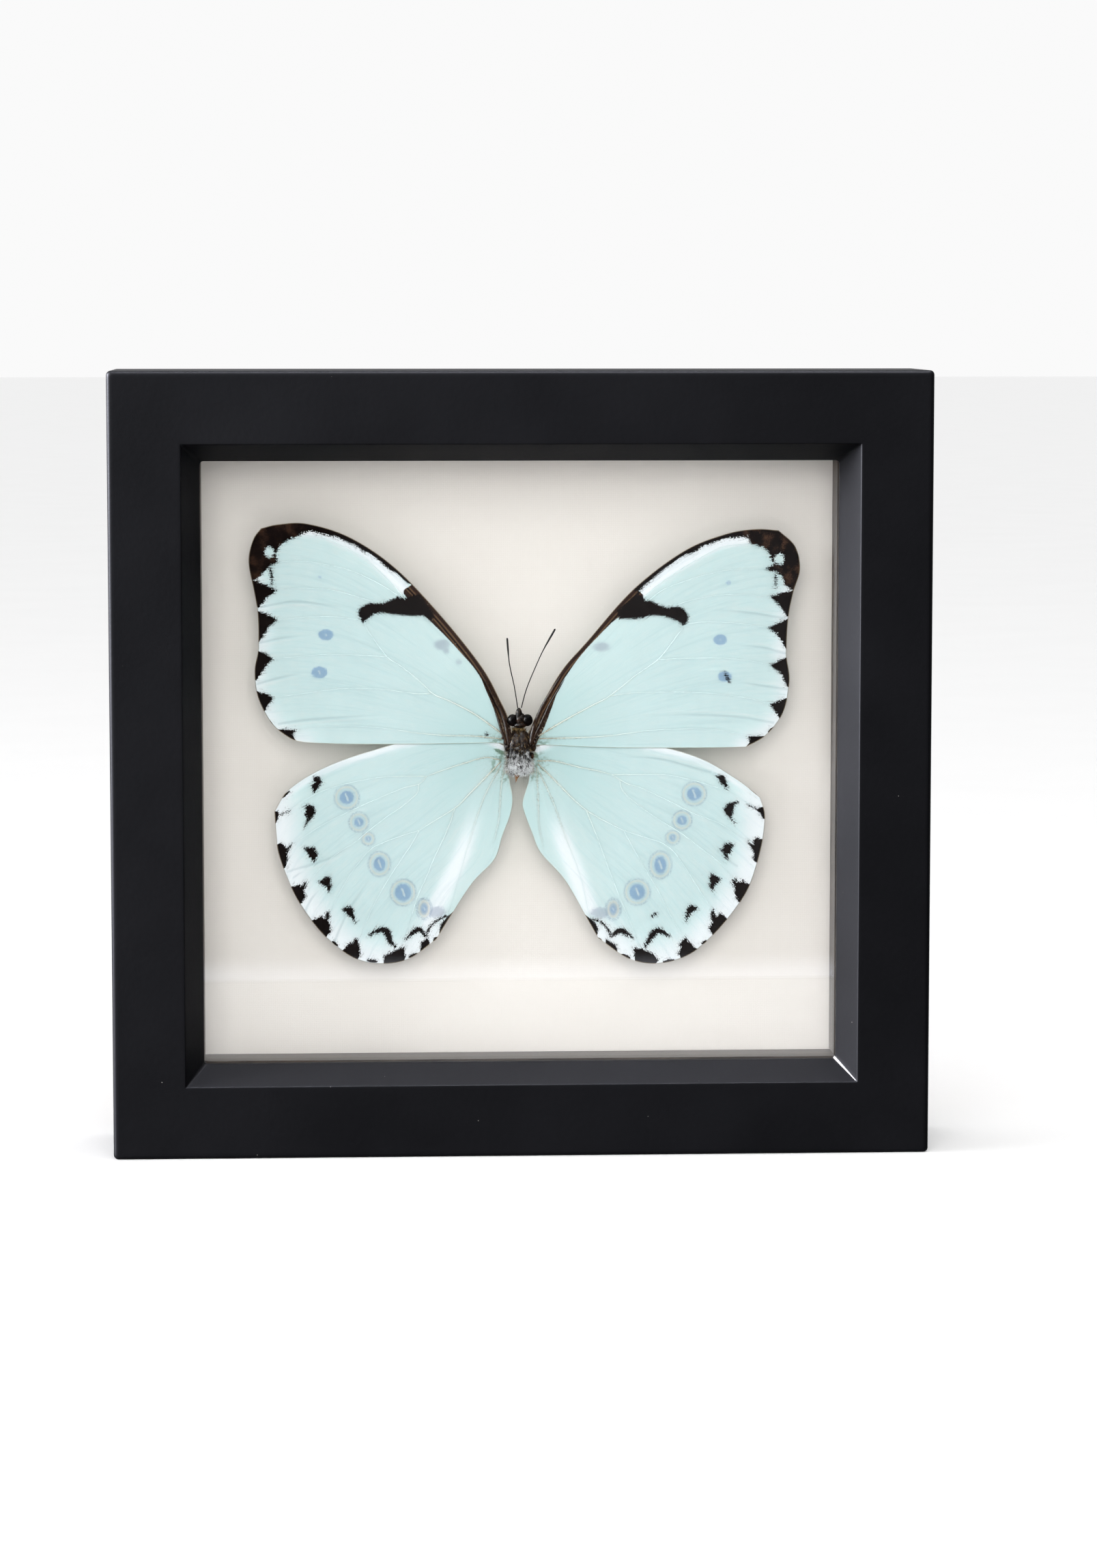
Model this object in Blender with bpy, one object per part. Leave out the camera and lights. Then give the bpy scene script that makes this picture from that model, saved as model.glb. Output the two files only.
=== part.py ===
"""A framed butterfly specimen: a black shadow-box frame with one set butterfly behind glass.

The origin is at the middle of the base, +Z is up and the glass faces -Y. All sizes are in metres.
Depths into the box are measured from the front of the frame, and distances across a rail from its
outer side. The butterfly's outlines are given in millimetres from the middle of its thorax.
"""
from math import cos, pi, radians, sin, sqrt

import bmesh
import bpy
from mathutils import Matrix, Vector

MM = 0.001

# The frame's outside
WIDTH = 182.0 * MM
HEIGHT = 174.6 * MM
DEPTH = 34.0 * MM
GAP = 0.3 * MM                      # clearance between neighbouring pieces

# The moulding, across the rail
FACE_WIDTH = 16.1 * MM
BEVEL_WIDTH = 3.9 * MM
BEVEL_DEPTH = 8.4 * MM
LIP_THICKNESS = 1.5 * MM
REBATE_WALL = 14.5 * MM             # thickness of the rail beside the rebate
ARRIS_RADIUS = 1.0 * MM
BACK_CHAMFER = 0.6 * MM
LIP_EDGE = FACE_WIDTH + BEVEL_WIDTH

# The layers in the rebate, from the front of the frame
GLASS_THICKNESS = 2.0 * MM
BACKING_FRONT = 22.3 * MM
BACKING_THICKNESS = 0.5 * MM
MOUNT_BOARD_THICKNESS = 5.0 * MM
BACK_BOARD_THICKNESS = 3.0 * MM
GLASS_FRONT = BEVEL_DEPTH + LIP_THICKNESS + GAP
GLASS_BACK = GLASS_FRONT + GLASS_THICKNESS
MOUNT_BOARD_FRONT = BACKING_FRONT + BACKING_THICKNESS + GAP
BACK_BOARD_FRONT = MOUNT_BOARD_FRONT + MOUNT_BOARD_THICKNESS + GAP
BACK_BOARD_BACK = BACK_BOARD_FRONT + BACK_BOARD_THICKNESS

# Framer's points
TAB_WIDTH = 6.0 * MM
TAB_REACH = 7.0 * MM                # how far a point stands over the back board
TAB_BITE = 4.0 * MM                 # how far it goes into the rail
TAB_THICKNESS = 0.6 * MM
TAB_SPREAD = 42.0 * MM              # from the middle of a rail to each of its two points
SLOT_OVERRUN = 1.0 * MM             # how far the cutter of a slot stands out of the rebate wall

# Hanger
HANGER_LENGTH = 42.0 * MM
HANGER_HEIGHT = 8.0 * MM
HANGER_THICKNESS = 0.8 * MM
HANGER_RISE = 1.0 * MM              # how far the toothed middle stands off the board
HANGER_FOOT = 7.0 * MM              # length of each nailed end
HANGER_TEETH = 9
TOOTH_DEPTH = 2.0 * MM
HANGER_BELOW_TOP = 38.0 * MM
NAIL_RADIUS = 0.6 * MM
NAIL_HEAD_RADIUS = 1.5 * MM
NAIL_HEAD_THICKNESS = 0.5 * MM
NAIL_BITE = 1.6 * MM

# The butterfly: where it is, and its depths from the front of the frame
SPECIMEN_HEIGHT = 90.0 * MM         # of the middle of the thorax above the base
WING_THICKNESS = 0.5 * MM
FOREWING_FRONT = 14.9 * MM
HINDWING_FRONT = 15.9 * MM
THORAX_DEPTH = 16.2 * MM
THORAX_UP = -0.6 * MM
THORAX_HALF = (2.9 * MM, 3.2 * MM, 5.1 * MM)
THORAX_REAR = -5.4 * MM             # the flat rear end of the thorax
STUB_RADIUS = 1.6 * MM
STUB_LENGTH = 1.8 * MM
HEAD_CENTRE = (0.1 * MM, 15.0 * MM, 6.4 * MM)
HEAD_HALF = (1.6 * MM, 1.7 * MM, 1.5 * MM)
EYE_RADIUS = 1.3 * MM
EYE_OFFSET = (1.6 * MM, -0.3 * MM, 0.0)
PALP_OFFSET = (-0.2 * MM, -0.3 * MM, 0.9 * MM)
PALP_HALF = (0.75 * MM, 0.75 * MM, 1.4 * MM)
ANTENNA_RADIUS = 0.2 * MM
CLUB_SCALE = 1.6
PAD_RADIUS = 2.0 * MM

# Wing outlines (mm): along the leading edge, down the outer margin and back along the inner one.
# Each stretch is one smooth curve, and the stretches meet in a corner.
FOREWING_LEFT = (
    [(-3.4, 3.2), (-3.5, 7.0), (-4.3, 10.6), (-8.9, 18.3), (-17.4, 29.0), (-28.0, 40.2),
     (-37.9, 47.1), (-47.2, 50.4), (-53.6, 50.4), (-57.6, 49.5)],
    [(-57.6, 49.5), (-59.4, 46.9), (-60.4, 42.0), (-59.2, 35.3), (-58.4, 30.0), (-58.4, 22.5),
     (-59.2, 17.8), (-58.6, 12.0), (-55.6, 6.0), (-51.4, 2.5), (-48.2, 1.5)],
    [(-48.2, 1.5), (-38.0, 1.1), (-20.0, 1.1), (-6.0, 1.6), (-3.4, 2.0)],
)
FOREWING_RIGHT = (
    [(3.5, 3.0), (3.6, 6.0), (6.6, 12.8), (14.7, 23.2), (26.0, 35.2), (37.2, 43.8),
     (46.3, 47.7), (53.0, 49.0), (58.2, 48.8)],
    [(58.2, 48.8), (61.9, 45.2), (63.0, 40.0), (61.5, 34.7), (60.4, 28.6), (60.1, 21.0),
     (60.8, 15.0), (59.4, 7.8), (55.6, 2.7), (51.0, 0.0)],
    [(51.0, 0.0), (39.7, -0.1), (20.0, 0.1), (6.0, 0.8), (3.5, 1.6)],
)
HINDWING_LEFT = (
    [(-3.5, 0.4), (-9.0, 3.0), (-20.0, 2.9), (-31.7, 0.0), (-43.2, -3.9), (-51.5, -8.9),
     (-55.0, -14.0)],
    [(-55.0, -14.0), (-54.7, -19.0), (-53.9, -24.5), (-50.1, -33.9), (-44.0, -42.3), (-37.2, -47.5),
     (-31.0, -48.8), (-24.9, -47.7), (-18.8, -43.4)],
    [(-18.8, -43.4), (-15.3, -37.7), (-10.4, -30.3), (-5.6, -25.2), (-3.8, -19.9), (-2.0, -15.0),
     (-1.5, -11.4), (-2.3, -8.0), (-3.5, -5.0)],
)
HINDWING_RIGHT = (
    [(3.5, -0.2), (9.0, 2.2), (20.0, 2.4), (31.4, 0.3), (41.2, -2.7), (49.2, -7.4),
     (54.4, -11.5)],
    [(54.4, -11.5), (55.5, -16.0), (54.6, -23.2), (51.8, -32.2), (46.6, -39.8), (39.6, -46.5),
     (32.4, -49.1), (25.1, -48.2), (17.8, -43.3)],
    [(17.8, -43.3), (14.6, -37.6), (10.1, -29.8), (4.8, -23.8), (2.8, -19.2), (0.9, -14.0),
     (0.8, -11.8), (2.1, -7.6), (3.5, -4.8)],
)

# Antennae (mm): across, depth from the front of the frame, and up, from the base to the club
ANTENNA_LEFT = [(-0.4, 14.8, 9.1), (-1.2, 14.5, 14.0), (-2.3, 14.2, 19.2), (-2.8, 14.2, 24.9)]
ANTENNA_RIGHT = [(0.4, 14.8, 9.1), (1.5, 14.5, 13.2), (3.2, 14.2, 17.5), (5.3, 14.2, 22.1),
                 (8.0, 14.2, 26.9)]

# Finishes: colour, roughness, metallic
FINISHES = {
    "black_paint": ((0.012, 0.012, 0.014), 0.35, 0.0),
    "glass": ((0.9, 0.95, 0.93), 0.02, 0.0),
    "dark_wood": ((0.05, 0.038, 0.03), 0.5, 0.0),
    "linen_paper": ((0.78, 0.74, 0.70), 0.85, 0.0),
    "foam_board": ((0.85, 0.85, 0.83), 0.8, 0.0),
    "hardboard": ((0.22, 0.13, 0.07), 0.75, 0.0),
    "steel": ((0.55, 0.55, 0.55), 0.35, 1.0),
    "wing_scales": ((0.55, 0.74, 0.75), 0.6, 0.0),
    "body_chitin": ((0.035, 0.018, 0.010), 0.45, 0.0),
    "antenna_chitin": ((0.010, 0.008, 0.007), 0.4, 0.0),
    "dry_tissue": ((0.28, 0.13, 0.04), 0.8, 0.0),
    "cork": ((0.45, 0.30, 0.17), 0.9, 0.0),
}


def depth_to_y(depth):
    """Turn a depth from the front of the frame into a Y coordinate."""
    return depth - DEPTH / 2


def clear_scene():
    """Remove every object of the scene."""
    for obj in list(bpy.data.objects):
        bpy.data.objects.remove(obj, do_unlink=True)


def finish(name):
    """Return the named material, making it the first time."""
    found = bpy.data.materials.get(name)
    if found:
        return found
    colour, roughness, metallic = FINISHES[name]
    material = bpy.data.materials.new(name)
    material.use_nodes = True
    shader = material.node_tree.nodes["Principled BSDF"]
    shader.inputs["Base Color"].default_value = (*colour, 1.0)
    shader.inputs["Roughness"].default_value = roughness
    shader.inputs["Metallic"].default_value = metallic
    return material


def add_object(name, mesh_data, finish_name=None):
    """Put a bmesh into the scene as one named object, with its faces pointing out."""
    bmesh.ops.recalc_face_normals(mesh_data, faces=mesh_data.faces)
    mesh = bpy.data.meshes.new(name)
    mesh_data.to_mesh(mesh)
    mesh_data.free()
    obj = bpy.data.objects.new(name, mesh)
    bpy.context.scene.collection.objects.link(obj)
    if finish_name:
        mesh.materials.append(finish(finish_name))
    return obj


def shade_round(obj, sharp_angle=35.0):
    """Shade a round piece smooth, apart from its edges sharper than the angle."""
    obj.data.shade_smooth()
    obj.data.set_sharp_from_angle(angle=radians(sharp_angle))


def use_boolean(obj, other, operation):
    """Cut another solid from this one, or join it, and keep the other as a hidden guide."""
    other.hide_render = True
    other.display_type = "WIRE"
    modifier = obj.modifiers.new(other.name, "BOOLEAN")
    modifier.operation = operation
    modifier.object = other
    modifier.solver = "EXACT"


def box(name, low, high, finish_name=None, chamfer=0.0):
    """Make a box between two corners, with its edges chamfered."""
    mesh_data = bmesh.new()
    size = Vector(high) - Vector(low)
    centre = (Vector(high) + Vector(low)) / 2
    matrix = Matrix.Translation(centre) @ Matrix.Diagonal((*size, 1.0))
    bmesh.ops.create_cube(mesh_data, size=1.0, matrix=matrix)
    if chamfer:
        bmesh.ops.bevel(mesh_data, geom=mesh_data.edges[:], offset=chamfer, segments=1,
                        affect="EDGES")
    return add_object(name, mesh_data, finish_name)


def prism(name, outline, place, low, high, finish_name):
    """Extrude a closed outline of (a, b) points between two values of a third coordinate.

    place(a, b, c) gives the point in space.
    """
    mesh_data = bmesh.new()
    near = [mesh_data.verts.new(place(a, b, low)) for a, b in outline]
    far = [mesh_data.verts.new(place(a, b, high)) for a, b in outline]
    mesh_data.faces.new(near)
    mesh_data.faces.new(list(reversed(far)))
    for i, vertex in enumerate(near):
        j = (i + 1) % len(near)
        mesh_data.faces.new((vertex, near[j], far[j], far[i]))
    return add_object(name, mesh_data, finish_name)


def ellipsoid(name, centre, half, finish_name=None, segments=28, rings=16):
    """Make an ellipsoid with its poles along Z."""
    mesh_data = bmesh.new()
    matrix = Matrix.Translation(centre) @ Matrix.Diagonal((*half, 1.0))
    bmesh.ops.create_uvsphere(mesh_data, u_segments=segments, v_segments=rings, radius=1.0,
                              matrix=matrix)
    obj = add_object(name, mesh_data, finish_name)
    shade_round(obj)
    return obj


def turned(name, profile, matrix, finish_name=None, segments=24):
    """Turn a profile of (radius, height) points about Z, both ends on the axis, and place it."""
    mesh_data = bmesh.new()
    rings = []
    for radius, height in profile:
        if radius == 0:
            rings.append([mesh_data.verts.new(matrix @ Vector((0, 0, height)))])
            continue
        angles = [2 * pi * k / segments for k in range(segments)]
        rings.append([mesh_data.verts.new(matrix @ Vector((radius * cos(a), radius * sin(a), height)))
                      for a in angles])
    for lower, upper in zip(rings, rings[1:]):
        for k in range(segments):
            quad = (lower[k % len(lower)], lower[(k + 1) % len(lower)],
                    upper[(k + 1) % len(upper)], upper[k % len(upper)])
            mesh_data.faces.new(list(dict.fromkeys(quad)))
    obj = add_object(name, mesh_data, finish_name)
    shade_round(obj)
    return obj


def rail_profile():
    """The moulding's section as (distance from the outer side, depth) points, round the outline."""
    arc = [(ARRIS_RADIUS * (1 - cos(a)), ARRIS_RADIUS * (1 - sin(a)))
           for a in (radians(angle) for angle in (0, 22.5, 45, 67.5, 90))]
    shelf = BEVEL_DEPTH + LIP_THICKNESS
    return arc + [(FACE_WIDTH, 0.0), (LIP_EDGE, BEVEL_DEPTH), (LIP_EDGE, shelf), (REBATE_WALL, shelf),
                  (REBATE_WALL, DEPTH), (BACK_CHAMFER, DEPTH), (0.0, DEPTH - BACK_CHAMFER)]


def on_rail(side):
    """Return place(across, along, depth) for a rail: across from its outer side, along from its middle."""
    middle = HEIGHT / 2
    places = {
        "bottom": lambda across, along, depth: (along, depth_to_y(depth), across),
        "top": lambda across, along, depth: (along, depth_to_y(depth), HEIGHT - across),
        "left": lambda across, along, depth: (across - WIDTH / 2, depth_to_y(depth), middle + along),
        "right": lambda across, along, depth: (WIDTH / 2 - across, depth_to_y(depth), middle + along),
    }
    return places[side]


def rail_half_length(side):
    """Half the outer length of a rail."""
    return (WIDTH if side in ("top", "bottom") else HEIGHT) / 2


def make_rail(side):
    """A mitred rail, with a slot in its rebate for each framer's point."""
    place = on_rail(side)
    mesh_data = bmesh.new()
    ends = []
    for sign in (-1, 1):
        reach = rail_half_length(side) - GAP / sqrt(2)
        ends.append([mesh_data.verts.new(place(across, sign * (reach - across), depth))
                     for across, depth in rail_profile()])
    low, high = ends
    mesh_data.faces.new(low)
    mesh_data.faces.new(list(reversed(high)))
    for i, vertex in enumerate(low):
        j = (i + 1) % len(low)
        mesh_data.faces.new((vertex, low[j], high[j], high[i]))
    rail = add_object(f"rail_{side}", mesh_data, "black_paint")
    for end, along in (("low", -TAB_SPREAD), ("high", TAB_SPREAD)):
        slot = tab_block(f"slot_{side}_{end}", side, along, GAP, TAB_BITE + GAP, SLOT_OVERRUN)
        use_boolean(rail, slot, "DIFFERENCE")


def tab_block(name, side, along, clearance, bite, reach, finish_name=None):
    """A flat block across the rebate wall of a rail, grown by a clearance on its width and faces."""
    place = on_rail(side)
    front = BACK_BOARD_BACK + GAP
    low = place(REBATE_WALL - bite, along - TAB_WIDTH / 2 - clearance, front - clearance)
    high = place(REBATE_WALL + reach, along + TAB_WIDTH / 2 + clearance,
                 front + TAB_THICKNESS + clearance)
    corners = [(min(a, b), max(a, b)) for a, b in zip(low, high)]
    return box(name, [c[0] for c in corners], [c[1] for c in corners], finish_name)


def make_tabs():
    """The framer's points, two on each rail."""
    ends = {"top": ("left", "right"), "bottom": ("left", "right"),
            "left": ("bottom", "top"), "right": ("bottom", "top")}
    for side, names in ends.items():
        for end, along in zip(names, (-TAB_SPREAD, TAB_SPREAD)):
            tab_block(f"tab_{side}_{end}", side, along, 0.0, TAB_BITE, TAB_REACH, "steel")


def make_sheet(name, front, thickness, finish_name, chamfer=0.0):
    """A rectangular layer that fills the rebate, with the clearance round it."""
    half = WIDTH / 2 - REBATE_WALL - GAP
    bottom = REBATE_WALL + GAP
    return box(name, (-half, depth_to_y(front), bottom),
               (half, depth_to_y(front + thickness), HEIGHT - bottom), finish_name, chamfer)


def make_spacers():
    """The four strips between the glass and the backing, flush with the lip."""
    front = depth_to_y(GLASS_BACK + GAP)
    back = depth_to_y(BACKING_FRONT - GAP)
    outer = REBATE_WALL + GAP
    half = WIDTH / 2 - outer
    inner_half = WIDTH / 2 - LIP_EDGE
    for name, low, high in (("bottom", outer, LIP_EDGE), ("top", HEIGHT - LIP_EDGE, HEIGHT - outer)):
        box(f"spacer_{name}", (-half, front, low), (half, back, high), "dark_wood")
    bottom = LIP_EDGE + GAP
    for name, low, high in (("left", -half, -inner_half), ("right", inner_half, half)):
        box(f"spacer_{name}", (low, front, bottom), (high, back, HEIGHT - bottom), "dark_wood")


def nail_places():
    """The two nails' (x, z)."""
    height = HEIGHT - HANGER_BELOW_TOP
    reach = HANGER_LENGTH / 2 - HANGER_FOOT / 2
    return (("left", -reach, height), ("right", reach, height))


def nail_hole(name, x, z, radius, low, high):
    """A cutter for a nail's hole, along Y."""
    matrix = Matrix.Translation((x, 0, z)) @ Matrix.Rotation(-pi / 2, 4, "X")
    profile = [(0, low), (radius, low), (radius, high), (0, high)]
    return turned(name, profile, matrix, segments=16)


def make_back_board():
    """The hardboard back, with a blind hole for each nail."""
    board = make_sheet("back_board", BACK_BOARD_FRONT, BACK_BOARD_THICKNESS, "hardboard")
    back = depth_to_y(BACK_BOARD_BACK)
    for end, x, z in nail_places():
        hole = nail_hole(f"board_hole_{end}", x, z, NAIL_RADIUS + GAP, back - NAIL_BITE - GAP,
                         back + GAP)
        use_boolean(board, hole, "DIFFERENCE")


def make_hanger():
    """A sawtooth hanger: a strip whose toothed middle stands off the board between two flat feet."""
    low = depth_to_y(BACK_BOARD_BACK + GAP)
    half = HANGER_LENGTH / 2
    knee = half - HANGER_FOOT
    step = knee - HANGER_RISE
    centre = HEIGHT - HANGER_BELOW_TOP
    bottom = centre - HANGER_HEIGHT / 2
    top = centre + HANGER_HEIGHT / 2
    inner = [(-half, low), (-knee, low), (-step, low + HANGER_RISE), (step, low + HANGER_RISE),
             (knee, low), (half, low)]
    outline = inner + [(x, y + HANGER_THICKNESS) for x, y in reversed(inner)]
    hanger = prism("hanger", outline, lambda a, b, c: (a, b, c), bottom, top, "steel")
    pitch = 2 * step / HANGER_TEETH
    for i in range(HANGER_TEETH):
        left = -step + i * pitch
        notch = [(left, bottom - GAP), (left + pitch, bottom - GAP),
                 (left + pitch / 2, bottom + TOOTH_DEPTH)]
        cutter = prism(f"notch_{i}", notch, lambda a, b, c: (a, c, b), low,
                       low + HANGER_RISE + HANGER_THICKNESS + GAP, None)
        use_boolean(hanger, cutter, "DIFFERENCE")
    for end, x, z in nail_places():
        hole = nail_hole(f"hanger_hole_{end}", x, z, NAIL_RADIUS + GAP, low - GAP,
                         low + HANGER_THICKNESS + GAP)
        use_boolean(hanger, hole, "DIFFERENCE")


def make_nails():
    """The hanger's two nails: a shank into the board and a low domed head."""
    under_head = BACK_BOARD_BACK + GAP + HANGER_THICKNESS + GAP
    shank = under_head - (BACK_BOARD_BACK - NAIL_BITE)
    for end, x, z in nail_places():
        matrix = Matrix.Translation((x, depth_to_y(under_head), z)) @ Matrix.Rotation(-pi / 2, 4, "X")
        dome = [(NAIL_HEAD_RADIUS * cos(radians(a)), NAIL_HEAD_THICKNESS * sin(radians(a)))
                for a in (0, 30, 60)]
        profile = [(0, -shank), (NAIL_RADIUS, -shank), (NAIL_RADIUS, 0), *dome, (0, NAIL_HEAD_THICKNESS)]
        turned(f"nail_{end}", profile, matrix, "steel", segments=16)


def smooth_curve(points, steps=5):
    """Points along a Catmull-Rom curve through the given ones, without the last."""
    ends = [2 * Vector(points[0]) - Vector(points[1])]
    knots = ends + [Vector(p) for p in points] + [2 * Vector(points[-1]) - Vector(points[-2])]
    curve = []
    for before, start, end, after in zip(knots, knots[1:], knots[2:], knots[3:]):
        for k in range(steps):
            t = k / steps
            curve.append(0.5 * (2 * start + (end - before) * t
                                + (2 * before - 5 * start + 4 * end - after) * t ** 2
                                + (3 * start - 3 * end + after - before) * t ** 3))
    return curve


def make_wing(name, outline, front):
    """A wing: a thin flat plate with the wing's smooth outline."""
    leading, margin, inner = outline
    closed = smooth_curve(leading) + smooth_curve(margin) + smooth_curve(inner)
    closed.append(Vector(inner[-1]))
    points = [(x * MM, z * MM) for x, z in closed]
    prism(name, points, lambda a, b, c: (a, c, SPECIMEN_HEIGHT + b), depth_to_y(front),
          depth_to_y(front + WING_THICKNESS), "wing_scales")


def make_thorax():
    """The thorax: an ellipsoid cut off flat at its rear, where the abdomen was."""
    centre = (0.0, depth_to_y(THORAX_DEPTH), SPECIMEN_HEIGHT + THORAX_UP)
    thorax = ellipsoid("thorax", centre, THORAX_HALF, "body_chitin")
    rear = SPECIMEN_HEIGHT + THORAX_REAR + GAP
    half = THORAX_HALF[1] + GAP
    low = (-half, centre[1] - half, rear - half)
    use_boolean(thorax, box("thorax_rear", low, (half, centre[1] + half, rear)), "DIFFERENCE")


def make_abdomen_stub():
    """The stump of the abdomen: a short cone, widest at the thorax, with a ragged-round end."""
    top = Matrix.Translation((0.0, depth_to_y(THORAX_DEPTH), SPECIMEN_HEIGHT + THORAX_REAR))
    arc = [(STUB_RADIUS * cos(radians(a)), -STUB_LENGTH * sin(radians(a))) for a in (0, 25, 50, 75)]
    turned("abdomen_stub", [(0, 0), *arc, (0, -STUB_LENGTH)], top, "dry_tissue", segments=20)


def make_head():
    """The head: a round capsule joined to its two eyes and its palps."""
    x, depth, up = HEAD_CENTRE
    centre = Vector((x, depth_to_y(depth), SPECIMEN_HEIGHT + up))
    head = ellipsoid("head", centre, HEAD_HALF, "body_chitin", segments=24, rings=14)
    for side, sign in (("left", -1), ("right", 1)):
        offset = Vector((sign * EYE_OFFSET[0], EYE_OFFSET[1], EYE_OFFSET[2]))
        eye = ellipsoid(f"eye_{side}", centre + offset, (EYE_RADIUS,) * 3, segments=20, rings=12)
        use_boolean(head, eye, "UNION")
    palps = ellipsoid("palps", centre + Vector(PALP_OFFSET), PALP_HALF, segments=16, rings=10)
    use_boolean(head, palps, "UNION")


def make_antenna(name, points):
    """An antenna: a fine round rod that thickens to a slim club."""
    route = smooth_curve([(x * MM, y * MM, z * MM) for x, y, z in points], steps=6)
    route.append(Vector(points[-1]) * MM)
    curve = bpy.data.curves.new(name, "CURVE")
    curve.dimensions = "3D"
    curve.bevel_depth = ANTENNA_RADIUS
    curve.bevel_resolution = 2
    curve.use_fill_caps = True
    spline = curve.splines.new("POLY")
    spline.points.add(len(route) - 1)
    for i, (point, place) in enumerate(zip(spline.points, route)):
        point.co = (place.x, depth_to_y(place.y), SPECIMEN_HEIGHT + place.z, 1.0)
        along = i / (len(route) - 1)
        point.radius = 1.0 + (CLUB_SCALE - 1.0) * max(0.0, along - 0.75) / 0.25
    curve.materials.append(finish("antenna_chitin"))
    bpy.context.scene.collection.objects.link(bpy.data.objects.new(name, curve))


def make_specimen_mount():
    """The round pad that holds the thorax off the backing."""
    front = THORAX_DEPTH + THORAX_HALF[1] + GAP
    length = BACKING_FRONT - GAP - front
    matrix = (Matrix.Translation((0.0, depth_to_y(front), SPECIMEN_HEIGHT))
              @ Matrix.Rotation(-pi / 2, 4, "X"))
    profile = [(0, 0), (PAD_RADIUS, 0), (PAD_RADIUS, length), (0, length)]
    turned("specimen_mount", profile, matrix, "cork", segments=20)


def make_frame():
    """The frame with its glass, spacers, layers, points and hanger."""
    for side in ("top", "bottom", "left", "right"):
        make_rail(side)
    make_sheet("glass", GLASS_FRONT, GLASS_THICKNESS, "glass")
    make_spacers()
    make_sheet("backing_paper", BACKING_FRONT, BACKING_THICKNESS, "linen_paper")
    make_sheet("mount_board", MOUNT_BOARD_FRONT, MOUNT_BOARD_THICKNESS, "foam_board")
    make_back_board()
    make_tabs()
    make_hanger()
    make_nails()


def make_butterfly():
    """The set butterfly on its pad."""
    make_wing("forewing_left", FOREWING_LEFT, FOREWING_FRONT)
    make_wing("forewing_right", FOREWING_RIGHT, FOREWING_FRONT)
    make_wing("hindwing_left", HINDWING_LEFT, HINDWING_FRONT)
    make_wing("hindwing_right", HINDWING_RIGHT, HINDWING_FRONT)
    make_thorax()
    make_abdomen_stub()
    make_head()
    make_antenna("antenna_left", ANTENNA_LEFT)
    make_antenna("antenna_right", ANTENNA_RIGHT)
    make_specimen_mount()


clear_scene()
make_frame()
make_butterfly()
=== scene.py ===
"""The looks of a framed butterfly specimen: a black shadow-box frame, its glass, and one set butterfly.

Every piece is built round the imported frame, in metres: +Z is up and the glass faces -Y. Sizes written in
millimetres are turned into metres where a mesh is made. Wing designs are in millimetres across and up
from the middle of the thorax.
"""

import logging
import math
from dataclasses import dataclass, field
from enum import Enum

import bpy
import numpy as np
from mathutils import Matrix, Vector


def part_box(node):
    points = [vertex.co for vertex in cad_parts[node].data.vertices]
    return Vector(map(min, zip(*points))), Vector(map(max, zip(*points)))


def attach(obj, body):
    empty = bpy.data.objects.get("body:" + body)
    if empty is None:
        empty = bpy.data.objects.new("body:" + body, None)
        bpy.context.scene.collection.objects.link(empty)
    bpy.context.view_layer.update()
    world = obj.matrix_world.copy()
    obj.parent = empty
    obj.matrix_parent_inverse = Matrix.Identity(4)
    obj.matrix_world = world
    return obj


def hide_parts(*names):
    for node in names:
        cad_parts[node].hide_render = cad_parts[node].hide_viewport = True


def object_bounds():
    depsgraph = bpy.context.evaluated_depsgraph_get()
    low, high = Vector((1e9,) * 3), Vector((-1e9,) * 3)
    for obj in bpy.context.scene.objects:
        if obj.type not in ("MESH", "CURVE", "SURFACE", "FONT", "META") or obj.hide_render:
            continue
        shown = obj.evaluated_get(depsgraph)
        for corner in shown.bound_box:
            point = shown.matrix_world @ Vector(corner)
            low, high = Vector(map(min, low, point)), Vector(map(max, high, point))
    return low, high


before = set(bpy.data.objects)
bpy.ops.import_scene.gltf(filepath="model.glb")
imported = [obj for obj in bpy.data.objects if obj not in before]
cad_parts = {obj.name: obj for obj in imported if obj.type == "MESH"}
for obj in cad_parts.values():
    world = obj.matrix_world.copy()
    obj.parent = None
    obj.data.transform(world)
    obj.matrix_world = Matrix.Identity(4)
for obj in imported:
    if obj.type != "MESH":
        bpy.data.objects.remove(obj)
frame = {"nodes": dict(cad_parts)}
CAD_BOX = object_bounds()

LOG = logging.getLogger("framed_butterfly")
MM = 0.001
OUTSIDE = -9.0                      # a signed distance (mm) that means far outside every mark

Colour = tuple[float, float, float, float]
Point = tuple[float, float]
Line = tuple[Point, ...]
Shape = tuple[np.ndarray, list[np.ndarray]]     # vertices, and arrays of faces
Socket = bpy.types.NodeSocket


def srgb(red: float, green: float, blue: float) -> Colour:
    """Turn a display colour, each part from 0 to 255, into a linear colour with alpha 1."""
    shares = [c / 255 for c in (red, green, blue)]
    return *(s / 12.92 if s <= 0.04045 else ((s + 0.055) / 1.055) ** 2.4 for s in shares), 1.0


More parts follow.
